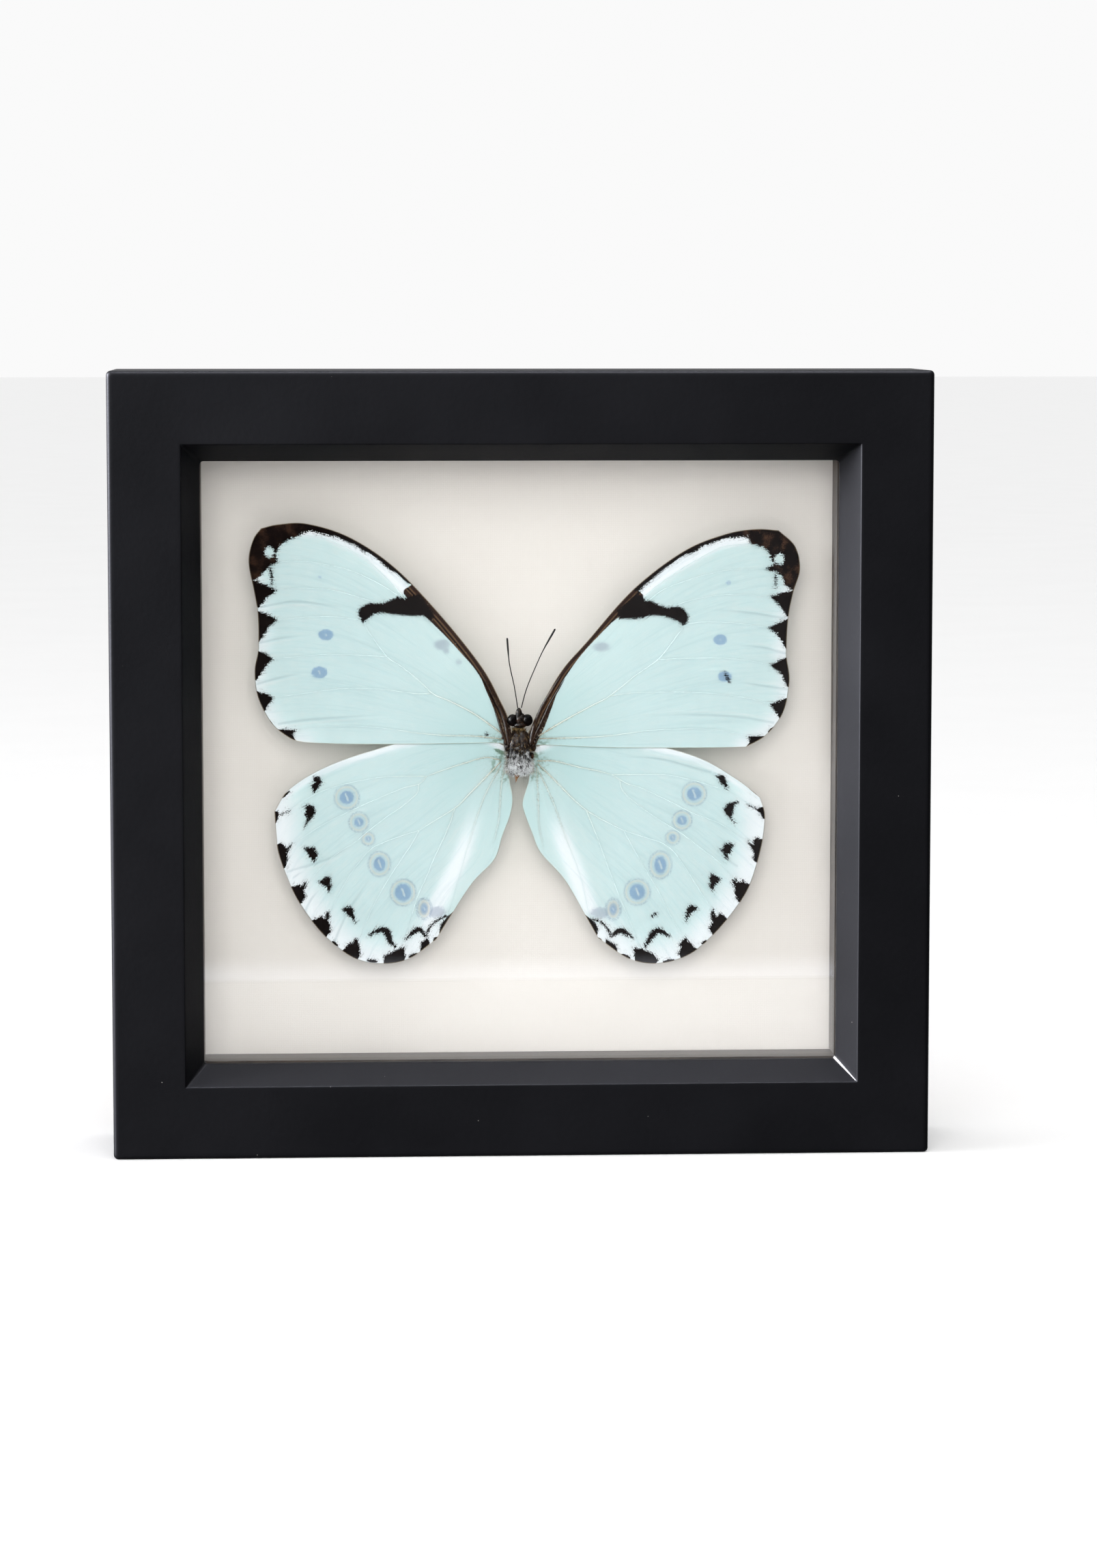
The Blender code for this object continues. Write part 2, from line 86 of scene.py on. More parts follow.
class Value:
    """One number of a material's node tree; operators on it add Math nodes."""

    def __init__(self, graph: "Graph", socket: Socket) -> None:
        """Wrap an output socket of the graph."""
        self.graph, self.socket = graph, socket

    def __add__(self, other: "Value | float") -> "Value":
        """Add."""
        return self.graph.math("ADD", self, other)

    def __sub__(self, other: "Value | float") -> "Value":
        """Subtract."""
        return self.graph.math("SUBTRACT", self, other)

    def __rsub__(self, other: float) -> "Value":
        """Subtract from a number."""
        return self.graph.math("SUBTRACT", other, self)

    def __mul__(self, other: "Value | float") -> "Value":
        """Multiply."""
        return self.graph.math("MULTIPLY", self, other)

    __radd__, __rmul__ = __add__, __mul__

    def __abs__(self) -> "Value":
        """Drop the sign."""
        return self.graph.math("ABSOLUTE", self)

    def most(self, other: "Value | float") -> "Value":
        """Take the larger of the two."""
        return self.graph.math("MAXIMUM", self, other)

    def rise(self, low: float, high: float) -> "Value":
        """Go smoothly from 0 at low to 1 at high; low may be the larger."""
        if low > high:
            return 1.0 - self.rise(high, low)
        node = self.graph.node("ShaderNodeMapRange", {"interpolation_type": "SMOOTHSTEP"},
                               {"Value": self, "From Min": low, "From Max": high})
        return Value(self.graph, node.outputs[0])


class Graph:
    """The node tree of one material."""

    def __init__(self, name: str) -> None:
        """Start an empty material of that name."""
        self.material = bpy.data.materials.new(name)
        self.material.use_nodes = True
        self.tree = self.material.node_tree
        self.tree.nodes.clear()

    def node(self, kind: str, settings: dict | None = None, inputs: dict | None = None) -> bpy.types.Node:
        """Add a node.

        Args:
            kind: The node's type name.
            settings: Its own properties, which are set first.
            inputs: Values or links of its input sockets, by name or number.

        Returns:
            The new node.
        """
        made = self.tree.nodes.new(kind)
        for name, value in (settings or {}).items():
            setattr(made, name, value)
        for key, value in (inputs or {}).items():
            if isinstance(value, Value):
                value = value.socket
            if isinstance(value, Socket):
                self.tree.links.new(value, made.inputs[key])
            else:
                made.inputs[key].default_value = value
        return made

    def math(self, operation: str, *terms: Value | float) -> Value:
        """Add a Math node on the terms and return its result."""
        made = self.node("ShaderNodeMath", {"operation": operation}, dict(enumerate(terms)))
        return Value(self, made.outputs[0])

    def vector(self, operation: str, first: Socket, second: tuple | Socket) -> Socket:
        """Add a Vector Math node on two vectors and return its result."""
        made = self.node("ShaderNodeVectorMath", {"operation": operation}, {0: first, 1: second})
        return made.outputs[0]

    def mix(self, share: Value | float, low: Colour | Socket, high: Colour | Socket) -> Socket:
        """Mix two colours, with that share of the second."""
        made = self.node("ShaderNodeMix", {"data_type": "RGBA", "clamp_factor": True},
                         {0: share, 6: low, 7: high})
        return made.outputs[2]

    def layers(self, colour: Colour | Socket, *coats: tuple[Value, Colour | Socket]) -> Socket:
        """Lay coats over a colour in turn, each with its own share, and return the result."""
        for share, coat in coats:
            colour = self.mix(share, colour, coat)
        return colour

    def place(self, *stretch: float) -> Socket:
        """Return the object's own coordinates in millimetres, each divided by its stretch."""
        coordinates = self.node("ShaderNodeTexCoord").outputs["Object"]
        sizes = tuple(1 / (MM * s) for s in (stretch or (1.0, 1.0, 1.0)))
        return self.vector("MULTIPLY", coordinates, sizes)

    def chart(self, across: float, along: float) -> Socket:
        """Return the piece's UV map, stretched to that many units each way."""
        return self.vector("MULTIPLY", self.node("ShaderNodeUVMap").outputs[0], (across, along, 1.0))

    def attribute(self, name: str) -> Value:
        """Read a number that is kept at the piece's vertices."""
        return Value(self, self.node("ShaderNodeAttribute", {"attribute_name": name}).outputs["Fac"])

    def noise(self, where: Socket, size: float, detail: float = 2.0, roughness: float = 0.5) -> Value:
        """Cloudy noise.

        Args:
            where: The coordinates.
            size: The size of its clouds, in the units of the coordinates.
            detail: How many finer layers it has.
            roughness: How strong these are.

        Returns:
            A number from 0 to 1, mostly near 0.5.
        """
        made = self.node("ShaderNodeTexNoise", {},
                         {"Vector": where, "Scale": 1 / size, "Detail": detail, "Roughness": roughness})
        return Value(self, made.outputs[0])

    def specks(self, where: Socket, spacing: float, radius: float, share: float = 1.0) -> Value:
        """Small scattered dots.

        Args:
            where: The coordinates.
            spacing: About how far apart the dots are.
            radius: The radius of a dot.
            share: The share of the places that have one.

        Returns:
            1 on a dot and 0 elsewhere.
        """
        cells = self.node("ShaderNodeTexVoronoi", {}, {"Vector": where, "Scale": 1 / spacing})
        chosen = self.node("ShaderNodeSeparateColor", {}, {0: cells.outputs["Color"]})
        dot = Value(self, cells.outputs["Distance"]).rise(radius / spacing, radius * 0.6 / spacing)
        return dot * Value(self, chosen.outputs[0]).rise(share + 0.01, share)

    def bump(self, height: Value, rise: float) -> Socket:
        """Turn a height from 0 to 1 into a normal, with a rise in millimetres."""
        made = self.node("ShaderNodeBump", {}, {"Height": height, "Distance": rise * MM, "Strength": 1.0})
        return made.outputs[0]

    def surface(self, inputs: dict) -> Socket:
        """Add the main shader with those inputs and return it."""
        return self.node("ShaderNodeBsdfPrincipled", {}, inputs).outputs[0]

    def done(self, shader: Socket) -> bpy.types.Material:
        """Join the shader to the output and return the material."""
        self.node("ShaderNodeOutputMaterial", {}, {0: shader})
        return self.material

    def finish(self, colour: Socket, roughness: Value, normal: Socket,
               **constants: float) -> bpy.types.Material:
        """Make the material of the main shader alone.

        Args:
            colour: Its colour.
            roughness: Its roughness.
            normal: Its bumpy normal.
            constants: Any of metallic, ior and specular.

        Returns:
            The material.
        """
        names = {"metallic": "Metallic", "ior": "IOR", "specular": "Specular IOR Level"}
        return self.done(self.surface({"Base Color": colour, "Roughness": roughness, "Normal": normal}
                                      | {names[key]: value for key, value in constants.items()}))


# Finishes

@dataclass(frozen=True)
class SatinBlackPaint:
    """Sprayed satin paint on the moulding, with a little dust, and a painted highlight along one inner mitre.
    """

    colour: Colour = (0.0009, 0.0009, 0.0013, 1.0)
    dust: Colour = (0.30, 0.29, 0.27, 1.0)
    # near-white colour painted along one inner mitre as a highlight
    painted_gleam: Colour = (0.72, 0.72, 0.74, 1.0)
    roughness: float = 0.5

    def material(self) -> bpy.types.Material:
        """Return the paint."""
        g = Graph("black_paint")
        here = g.place()
        peel, fog = g.noise(here, 1.4, 3.0), g.noise(here, 30.0, 3.0)
        fine = g.noise(here, 0.22)
        dust = g.specks(here, 5.5, 0.13, 0.45)
        # share of the painted highlight along the lower right inner mitre
        tint_share = (g.attribute("painted_gleam") + (fine - 0.5) * 0.5).rise(0.35, 0.9)
        colour = g.mix(dust, g.mix(fog.rise(0.3, 0.8), self.colour, (0.0018, 0.0018, 0.0024, 1.0)), self.dust)
        return g.done(g.surface({
            "Base Color": g.mix(tint_share, colour, self.painted_gleam),
            "Roughness": self.roughness + (fog - 0.5) * 0.12 + (fine - 0.5) * 0.1 + dust * 0.3,
            "IOR": 1.4, "Specular IOR Level": 0.06, "Specular Tint": (0.86, 0.88, 1.0, 1.0),
            "Normal": g.bump(peel * 0.7 + fine * 0.3, 0.03)}))


@dataclass(frozen=True)
class PictureGlass:
    """Thin clear sheet glass that mirrors a little and lets the rest of the light straight through.

    Light is not bent, so the inside of each face mirrors as much as its outside does.
    """

    tint: Colour = (0.985, 0.993, 0.99, 1.0)
    index: float = 1.48

    def material(self) -> bpy.types.Material:
        """Return the glass."""
        g = Graph("glass")
        here = g.place()
        inside = Value(g, g.node("ShaderNodeNewGeometry").outputs["Backfacing"])
        index = self.index + inside * (1 / self.index - self.index)
        mirrored = Value(g, g.node("ShaderNodeFresnel", {}, {"IOR": index}).outputs[0])
        dust = g.specks(here, 7.0, 0.1, 0.3)
        smear = g.noise(here, 18.0, 3.0)
        mirror = g.surface({"Base Color": g.mix(dust, (0.98, 0.98, 0.98, 1.0), (0.8, 0.8, 0.78, 1.0)),
                            "Metallic": 1.0, "Roughness": smear.rise(0.45, 0.8) * 0.03 + 0.01})
        clear = g.node("ShaderNodeBsdfTransparent", {}, {0: self.tint}).outputs[0]
        share = mirrored + dust * 0.5
        return g.done(g.node("ShaderNodeMixShader", {}, {0: share, 1: clear, 2: mirror}).outputs[0])


class Grain(Enum):
    """Which way the wood grain of a strip runs."""

    ACROSS = "across"
    UP = "up"


@dataclass(frozen=True)
class StainedWood:
    """Dark stained strips of wood with grain along their length."""

    grain: Grain
    dark: Colour = srgb(52, 42, 36)
    light: Colour = srgb(92, 77, 66)

    def material(self) -> bpy.types.Material:
        """Return the wood."""
        g = Graph(f"dark_wood_{self.grain.value}")
        stretch = (14.0, 1.0, 0.7) if self.grain is Grain.ACROSS else (0.7, 1.0, 14.0)
        grain = g.noise(g.place(*stretch), 1.1, 4.0, 0.65)
        pores = g.noise(g.place(*(s * 0.5 for s in stretch)), 0.3, 2.0)
        streak = grain.rise(0.3, 0.75) * 0.8 + pores.rise(0.55, 0.75) * 0.2
        dust = g.specks(g.place(), 4.0, 0.12, 0.5)
        colour = g.mix(streak, self.dark, self.light)
        return g.finish(g.mix(dust, colour, srgb(190, 184, 172)), 0.42 + grain * 0.2,
                        g.bump(grain * 0.6 + pores * 0.4, 0.05), ior=1.45)


@dataclass(frozen=True)
class LinenPaper:
    """Ivory paper pressed with a fine linen weave, a little soiled."""

    ivory: Colour = srgb(223, 217, 213)
    thread: Colour = srgb(214, 206, 201)
    pitch: float = 0.42

    def material(self) -> bpy.types.Material:
        """Return the paper."""
        g = Graph("linen_paper")
        here = g.place()
        warp = self.threads(g, 0, g.noise(g.place(self.pitch, 1.0, 14.0), 1.0, 1.0))
        weft = self.threads(g, 2, g.noise(g.place(14.0, 1.0, self.pitch), 1.0, 1.0))
        weave = warp * 0.5 + weft * 0.5
        fibre, cloud = g.noise(here, 0.2, 2.0), g.noise(here, 22.0, 3.0)
        shade = weave * 0.55 + fibre * 0.25 + cloud.rise(0.3, 0.8) * 0.2
        dark = g.specks(here, 11.0, 0.16, 0.4)
        bright = g.specks(g.place(1.1, 0.9, 1.2), 8.0, 0.14, 0.3)
        colour = g.layers(self.ivory, (shade, self.thread), (dark * 0.75, srgb(120, 100, 78)),
                          (bright, (0.95, 0.95, 0.95, 1.0)))
        return g.finish(colour, 0.82 + weave * 0.12,
                        g.bump(weave * 0.8 + fibre * 0.2, 0.03), specular=0.3)

    def threads(self, g: Graph, axis: int, slub: Value) -> Value:
        """Rule threads a pitch apart along one axis.

        Args:
            g: The graph.
            axis: The axis that the threads follow each other along.
            slub: Noise that makes the threads uneven.

        Returns:
            A sine wave, low between threads and high on them.
        """
        along = Value(g, g.node("ShaderNodeSeparateXYZ", {}, {0: g.place()}).outputs[axis])
        wave = g.math("SINE", along * (2 * math.pi / self.pitch) + slub * 2.0)
        return wave * 0.3 + 0.35 + slub * 0.3


@dataclass(frozen=True)
class FoamBoard:
    """White card over foam, with soft dents and stray fibres."""

    def material(self) -> bpy.types.Material:
        """Return the board."""
        g = Graph("foam_board")
        here = g.place()
        dents, fibre = g.noise(here, 6.0, 2.0), g.noise(g.place(1.0, 1.0, 0.4), 0.5, 3.0)
        colour = g.mix(fibre.rise(0.35, 0.75), srgb(236, 235, 230), srgb(214, 212, 204))
        return g.finish(colour, 0.78 + fibre * 0.15, g.bump(dents * 0.6 + fibre * 0.4, 0.12))


@dataclass(frozen=True)
class Hardboard:
    """Pressed brown fibre board with dark flecks and light scuffs."""

    def material(self) -> bpy.types.Material:
        """Return the board."""
        g = Graph("hardboard")
        here = g.place()
        fibre = g.noise(g.place(1.6, 1.0, 0.8), 0.7, 5.0, 0.7)
        cloud = g.noise(here, 26.0, 3.0)
        flecks = g.specks(g.place(2.4, 1.0, 0.9), 2.2, 0.35, 0.6)
        scuff = g.noise(g.place(9.0, 1.0, 1.2), 4.0, 4.0).rise(0.66, 0.74)
        colour = g.layers(srgb(104, 72, 46), (fibre.rise(0.3, 0.72), srgb(148, 108, 72)),
                          (cloud.rise(0.35, 0.75) * 0.35, srgb(92, 62, 40)), (flecks * 0.6, srgb(66, 43, 27)),
                          (scuff * 0.4, srgb(186, 152, 112)))
        return g.finish(colour, 0.6 + fibre * 0.25,
                        g.bump(fibre * 0.7 + flecks * 0.3, 0.08))


@dataclass(frozen=True)
class ZincSteel:
    """Zinc-plated pressed steel, brushed one way and dulled in spots."""

    def material(self) -> bpy.types.Material:
        """Return the metal."""
        g = Graph("steel")
        brush = g.noise(g.place(9.0, 1.0, 0.25), 0.5, 3.0)
        dull = g.noise(g.place(), 3.0, 4.0, 0.65)
        colour = g.mix(dull.rise(0.4, 0.75), srgb(196, 196, 190), srgb(138, 136, 128))
        return g.finish(colour, 0.26 + brush * 0.18 + dull.rise(0.45, 0.8) * 0.25, g.bump(brush, 0.012),
                        metallic=1.0)


@dataclass(frozen=True)
class Cork:
    """A cork pad of light and dark grains."""

    def material(self) -> bpy.types.Material:
        """Return the cork."""
        g = Graph("cork")
        cells = g.node("ShaderNodeTexVoronoi", {}, {"Vector": g.place(), "Scale": 1 / 0.7})
        tone = Value(g, g.node("ShaderNodeSeparateColor", {}, {0: cells.outputs["Color"]}).outputs[0])
        edge = Value(g, cells.outputs["Distance"]).rise(0.35, 0.7)
        colour = g.mix(edge * 0.6, g.mix(tone, srgb(196, 154, 106), srgb(148, 104, 66)), srgb(92, 58, 34))
        return g.finish(colour, 0.8 + tone * 0.1, g.bump(1.0 - edge, 0.1))


@dataclass(frozen=True)
class WingScales:
    """Pearly pale blue-green scales with dark marks; each mark is a distance kept at the vertices."""

    ground: Colour = srgb(220, 243, 248)
    deep: Colour = srgb(201, 231, 234)
    margin: Colour = srgb(238, 240, 246)
    mark: Colour = srgb(15, 6, 4)
    brown: Colour = srgb(38, 22, 16)
    tan: Colour = srgb(100, 74, 52)

    def scales(self, g: Graph) -> Socket:
        """Colour the pale scales: bands along the wing, a paler margin, hair, and painted light and shade on
        the pleats and beside the veins.
        """
        here = g.place()
        rows, fan = g.chart(26.0, 210.0), g.chart(2.2, 44.0)
        streak, band = g.noise(rows, 1.0, 2.0), g.noise(fan, 1.0, 3.0)
        grit, cloud = g.noise(here, 0.16, 2.0), g.noise(here, 7.0, 3.0)
        near_root = g.attribute("root").rise(30.0, 4.0)
        pale = (g.attribute("pale") + (cloud - 0.5) * 0.5 + (band - 0.5) * 0.4).rise(-0.05, 1.0)
        far = 1.0 - g.attribute("root").rise(22.0, 6.0) * 0.85
        strands = g.noise(g.chart(3.5, 260.0), 1.0, 2.0).rise(0.45, 0.66)
        pleat_shading, vein = g.attribute("pleat_shading"), g.attribute("vein")
        flecks = g.noise(here, 0.24, 2.0).rise(0.5, 0.58) * vein.rise(0.5, 0.15)
        return g.layers(
            self.ground,
            (near_root * 0.75 + (cloud - 0.5) * 0.6, self.deep),
            (pale, self.margin),
            (band.rise(0.35, 0.7) * far * 0.22, srgb(228, 238, 240)),
            (band.rise(0.5, 0.3) * far * 0.2, srgb(154, 184, 192)),
            (streak.rise(0.42, 0.7) * far * 0.3, srgb(252, 254, 254)),
            (grit.rise(0.48, 0.7) * 0.2, srgb(150, 182, 186)),
            (g.attribute("fur") * strands * 0.5, srgb(240, 243, 246)),
            # painted highlight on one side of each pleat and painted shade on the other
            (pleat_shading.rise(0.1, 0.9) * 0.4, srgb(238, 243, 246)),
            (pleat_shading.rise(-0.1, -0.9) * 0.32, srgb(140, 168, 178)),
            # painted shade along both sides of each vein
            (vein.rise(0.6, 0.1) * 0.08, srgb(138, 166, 168)),
            (flecks * g.attribute("root").rise(24.0, 6.0) * 0.6, srgb(112, 92, 62)))

    def spots(self, g: Graph, colour: Socket) -> Socket:
        """Add the smudges and eye spots: a mottled blue middle, a thin cream ring and a dotted halo."""
        here = g.place()
        grit, dots = g.noise(here, 0.16, 2.0), g.noise(here, 0.2, 1.0)
        grey = (g.attribute("grey") + (dots - 0.5) * 1.6).rise(-0.35, 0.45)
        halo = abs(g.attribute("halo") + (grit - 0.5) * 0.3).rise(0.42, 0.05) * dots.rise(0.4, 0.56)
        ring = abs(g.attribute("ring") + (grit - 0.5) * 0.3)
        blue = (g.attribute("blue") + (dots - 0.5) * 0.9).rise(-0.08, 0.4)
        pupil = (g.attribute("pupil") + (dots - 0.5) * 0.6).rise(-0.1, 0.14)
        return g.layers(
            colour,
            (grey * 0.6, srgb(160, 168, 190)),
            (halo * 0.6, srgb(128, 152, 178)),
            (g.attribute("ring").rise(-0.1, 0.3) * 0.3, srgb(160, 188, 206)),
            (ring.rise(0.3, 0.08) * dots.rise(0.28, 0.46) * 0.7, srgb(226, 222, 212)),
            (blue * (0.8 + (grit - 0.5) * 0.9), srgb(134, 170, 210)),
            (pupil * 0.75, srgb(224, 232, 234)))

    def costa(self, g: Graph) -> Socket:
        """Colour the brown bundle: dark bands and lighter lines that follow the leading edge."""
        here, edge = g.place(), g.attribute("edge")
        streak, grit = g.noise(g.chart(12.0, 170.0), 1.0, 2.0), g.noise(here, 0.16, 2.0)
        wavy = edge + (streak - 0.5) * 0.35
        lines = abs(wavy - 1.05).rise(0.26, 0.05).most(abs(wavy - 1.75).rise(0.24, 0.05))
        ashen = g.attribute("root").rise(9.0, 3.0) * g.noise(here, 0.5, 3.0).rise(0.5, 0.62)
        return g.layers(
            self.brown,
            (streak.rise(0.4, 0.7) * 0.5, srgb(62, 42, 31)),
            (lines * 0.75, self.tan),
            (abs(wavy - 1.4).rise(0.16, 0.04) * 0.8, srgb(14, 8, 6)),
            (grit.rise(0.52, 0.7) * 0.3, srgb(24, 14, 10)),
            (g.specks(here, 1.1, 0.09, 0.5) * 0.6, srgb(206, 190, 164)),
            (ashen * 0.45, srgb(166, 150, 132)))

    def material(self) -> bpy.types.Material:
        """Return the wing's finish."""
        g = Graph("wing_scales")
        here = g.place()
        dots, grit = g.noise(here, 0.2, 1.0), g.noise(here, 0.16, 2.0)
        streak, barbs = g.noise(g.chart(26.0, 210.0), 1.0, 2.0), g.noise(g.chart(20.0, 300.0), 1.0, 1.0)
        root, edge, dark = g.attribute("root"), g.attribute("edge"), g.attribute("dark")
        scruff = g.noise(g.place(0.9, 1.0, 0.5), 0.45, 4.0, 0.7).rise(0.55, 0.68) * root.rise(10.0, 2.5)
        green = g.noise(here, 0.9, 2.0).rise(0.46, 0.62) * root.rise(4.6, 2.6)
        window = (g.attribute("window") + (dots - 0.5) * 0.5).rise(-0.1, 0.2)
        mottle = g.mix(dots.rise(0.4, 0.6), srgb(58, 84, 58), srgb(110, 148, 118))
        motes = g.specks(here, 3.4, 0.1, 0.33).most(g.specks(g.place(1.3, 1.0, 0.8), 2.0, 0.07, 0.3))
        bundle = (g.attribute("bundle") + (grit - 0.5) * 0.4).rise(-0.06, 0.1)
        fringe = (dots - 0.5) * 1.5 + (barbs - 0.5) * 1.1
        covered = (dark + fringe * g.attribute("ragged")).rise(-0.06, 0.1)
        stray = (dark + fringe * 2.6).rise(0.0, 0.1) * g.attribute("ragged") * 0.55
        rust = (g.noise(here, 2.4, 3.0) + (grit - 0.5) * 0.5).rise(0.46, 0.75) * g.attribute("rust")
        colour = g.layers(
            self.spots(g, self.scales(g)),
            (scruff * 0.6, srgb(132, 138, 92)),
            (green * 0.7, srgb(92, 128, 104)),
            (window * 0.85, mottle),
            (motes * 0.7, srgb(70, 70, 60)),
            (bundle, self.costa(g)),
            (covered.most(stray), g.mix(rust * 0.8, self.mark, srgb(78, 53, 38))),
            (edge.rise(0.22, 0.04) * 0.5, srgb(204, 184, 158)))

        height = streak * 0.25 + grit * 0.25 + (1.0 - covered) * 0.2
        scales = g.surface({
            "Base Color": colour, "Roughness": 0.55 + grit * 0.16 + covered * 0.12,
            "Specular IOR Level": 0.06,
            "Normal": g.bump(height, 0.05)})
        through = g.node("ShaderNodeBsdfTranslucent", {}, {"Color": srgb(224, 230, 224)})
        share = 0.44 * (1.0 - covered.most(bundle)) * (1.0 - g.attribute("pale") * 0.55)
        both = g.node("ShaderNodeMixShader", {}, {0: share, 1: scales, 2: through.outputs[0]})
        return g.done(both.outputs[0])


@dataclass(frozen=True)
class WingVein:
    """Thin raised veins: cream over most of the wing and olive brown near the body."""

    def material(self) -> bpy.types.Material:
        """Return the finish; the vertices keep how far from the body they are."""
        g = Graph("wing_veins")
        root, uneven = g.attribute("root"), g.noise(g.place(), 0.5, 3.0)
        old, tint_share = ((root + (uneven - 0.5) * 20.0).rise(far, 2.0) for far in (9.0, 34.0))
        colour = g.layers(srgb(218, 232, 234), (uneven.rise(0.3, 0.7), srgb(196, 213, 215)),
                          (tint_share * 0.55, srgb(206, 198, 178)), (old * 0.7, srgb(140, 122, 90)))
        return g.finish(colour, 0.5 + uneven * 0.2, g.bump(uneven, 0.03), specular=0.1)


@dataclass(frozen=True)
class Chitin:
    """Dark brown shell of the body, glossy where bare and mottled with pale scales at the rear."""

    furred_below: float
    shell: Colour = srgb(24, 13, 8)
    gold: Colour = srgb(122, 88, 50)
    pale: Colour = srgb(226, 226, 228)

    def material(self) -> bpy.types.Material:
        """Return the shell."""
        g = Graph("body_chitin")
        here = g.place()
        up = Value(g, g.node("ShaderNodeSeparateXYZ", {}, {0: here}).outputs[2])
        blotch, fine = g.noise(here, 0.9, 4.0, 0.65), g.noise(g.place(0.5, 1.0, 1.4), 0.3, 3.0)
        low = self.furred_below / MM
        rear = (up + (blotch - 0.5) * 5.0).rise(low + 0.8, low - 1.2)
        gold = fine.rise(0.56, 0.68) * (1.0 - rear)
        colour = g.layers(self.shell, (blotch.rise(0.5, 0.7) * 0.5, srgb(70, 42, 25)),
                          (gold * 0.5, self.gold), (rear * blotch.rise(0.42, 0.52), self.pale),
                          (rear * fine.rise(0.56, 0.64) * 0.85, srgb(30, 22, 20)))
        return g.finish(colour, 0.34 + rear * 0.4 + fine * 0.12, g.bump(blotch * 0.5 + fine * 0.5, 0.16),
                        specular=0.08)


@dataclass(frozen=True)
class AntennaChitin:
    """Black finely ringed shell of the antennae."""

    def material(self) -> bpy.types.Material:
        """Return the shell."""
        g = Graph("antenna_chitin")
        rings = g.noise(g.place(4.0, 4.0, 0.22), 1.0, 1.0)
        colour = g.mix(rings.rise(0.45, 0.7), srgb(6, 4, 4), srgb(24, 17, 14))
        return g.finish(colour, 0.5 + rings * 0.2, g.bump(rings, 0.03), specular=0.08)


@dataclass(frozen=True)
class EyeGloss:
    """Black glossy eye with a faint brown net of facets."""

    def material(self) -> bpy.types.Material:
        """Return the eye."""
        g = Graph("eye_gloss")
        cells = g.node("ShaderNodeTexVoronoi", {"feature": "DISTANCE_TO_EDGE"},
                       {"Vector": g.place(), "Scale": 1 / 0.12})
        facet = Value(g, cells.outputs["Distance"]).rise(0.0, 0.25)
        cloud = g.noise(g.place(), 0.7, 2.0)
        colour = g.mix(cloud.rise(0.45, 0.75) * 0.7, srgb(5, 3, 3), srgb(26, 15, 10))
        return g.finish(colour, 0.16 + cloud * 0.1, g.bump(facet, 0.006), specular=0.1)


@dataclass(frozen=True)
class Hair:
    """Fine hairs between two tones; each hair keeps its own tone at its vertices."""

    name: str
    dark: Colour
    light: Colour

    def material(self) -> bpy.types.Material:
        """Return the hair's finish."""
        g = Graph(self.name)
        tone = g.attribute("tone") + (g.noise(g.place(), 0.5, 2.0) - 0.5) * 0.3
        return g.done(g.surface({"Base Color": g.mix(tone.rise(0.1, 0.9), self.dark, self.light),
                                 "Roughness": 0.45 + tone * 0.15, "Specular IOR Level": 0.08}))


@dataclass(frozen=True)
class DryTissue:
    """Torn orange-brown tissue, dry and a little waxy."""

    def material(self) -> bpy.types.Material:
        """Return the tissue."""
        g = Graph("dry_tissue")
        fibre = g.noise(g.place(0.4, 0.6, 1.4), 0.5, 4.0, 0.7)
        colour = g.mix(fibre.rise(0.35, 0.7), srgb(104, 62, 28), srgb(186, 128, 66))
        return g.finish(colour, 0.55 + fibre * 0.25, g.bump(fibre, 0.2))


@dataclass(frozen=True)
class PaleFloor:
    """Matt white floor with a very faint mottle."""

    def material(self) -> bpy.types.Material:
        """Return the floor's finish."""
        g = Graph("pale_floor")
        mottle = g.noise(g.place(), 60.0, 3.0)
        return g.done(g.surface({"Base Color": g.mix(mottle, (0.93, 0.93, 0.93, 1.0), (0.9, 0.9, 0.9, 1.0)),
                                 "Roughness": 0.8 + mottle * 0.1, "Specular IOR Level": 0.1}))


# Curves, distances and meshes

def smooth_curve(points: Line, steps: int = 8) -> np.ndarray:
    """Carry a smooth curve through the points.

    Between two points the curve is the cubic whose slope at each point is half the step from the point
    before it to the point after it; the ends use a mirrored neighbour.

    Args:
        points: The points, at least two.
        steps: How many pieces each stretch is cut into.

    Returns:
        The points along the curve, both ends included.
    """
    p = np.array(points, float)
    p = np.vstack([2 * p[0] - p[1], p, 2 * p[-1] - p[-2]])
    t = (np.arange(steps) / steps)[None, :, None]
    a, b, c, d = (p[k:len(p) - 3 + k, None] for k in range(4))
    curve = 0.5 * (2 * b + (c - a) * t + (2 * a - 5 * b + 4 * c - d) * t ** 2
                   + (3 * b - 3 * c + d - a) * t ** 3)
    return np.vstack([curve.reshape(-1, p.shape[1]), p[-2]])


def spaced(curve: np.ndarray, shares: np.ndarray) -> np.ndarray:
    """Return the points at those shares of the curve's length."""
    lengths = np.concatenate([[0.0], np.cumsum(np.linalg.norm(np.diff(curve, axis=0), axis=1))])
    return np.stack([np.interp(shares * lengths[-1], lengths, axis) for axis in curve.T], axis=-1)


def evenly(points: Line, count: int) -> np.ndarray:
    """Return that many points at even steps along a smooth curve through the given ones."""
    return spaced(smooth_curve(points), np.linspace(0, 1, count))


def line_distance(points: np.ndarray, line: np.ndarray) -> tuple[np.ndarray, np.ndarray]:
    """Measure how far points are from a line of straight stretches.

    Args:
        points: The points, one a row.
        line: The line's points, in order.

    Returns:
        Each point's distance to the line, and the share along the line of its nearest place.
    """
    best, share = np.full(len(points), np.inf), np.zeros(len(points))
    last = len(line) - 1
    for k, (start, end) in enumerate(zip(line[:-1], line[1:])):
        step = end - start
        t = np.clip((points - start) @ step / max(step @ step, 1e-12), 0, 1)
        away = np.linalg.norm(points - start - t[:, None] * step, axis=1)
        nearer = away < best
        best, share = np.where(nearer, away, best), np.where(nearer, (k + t) / last, share)
    return best, share


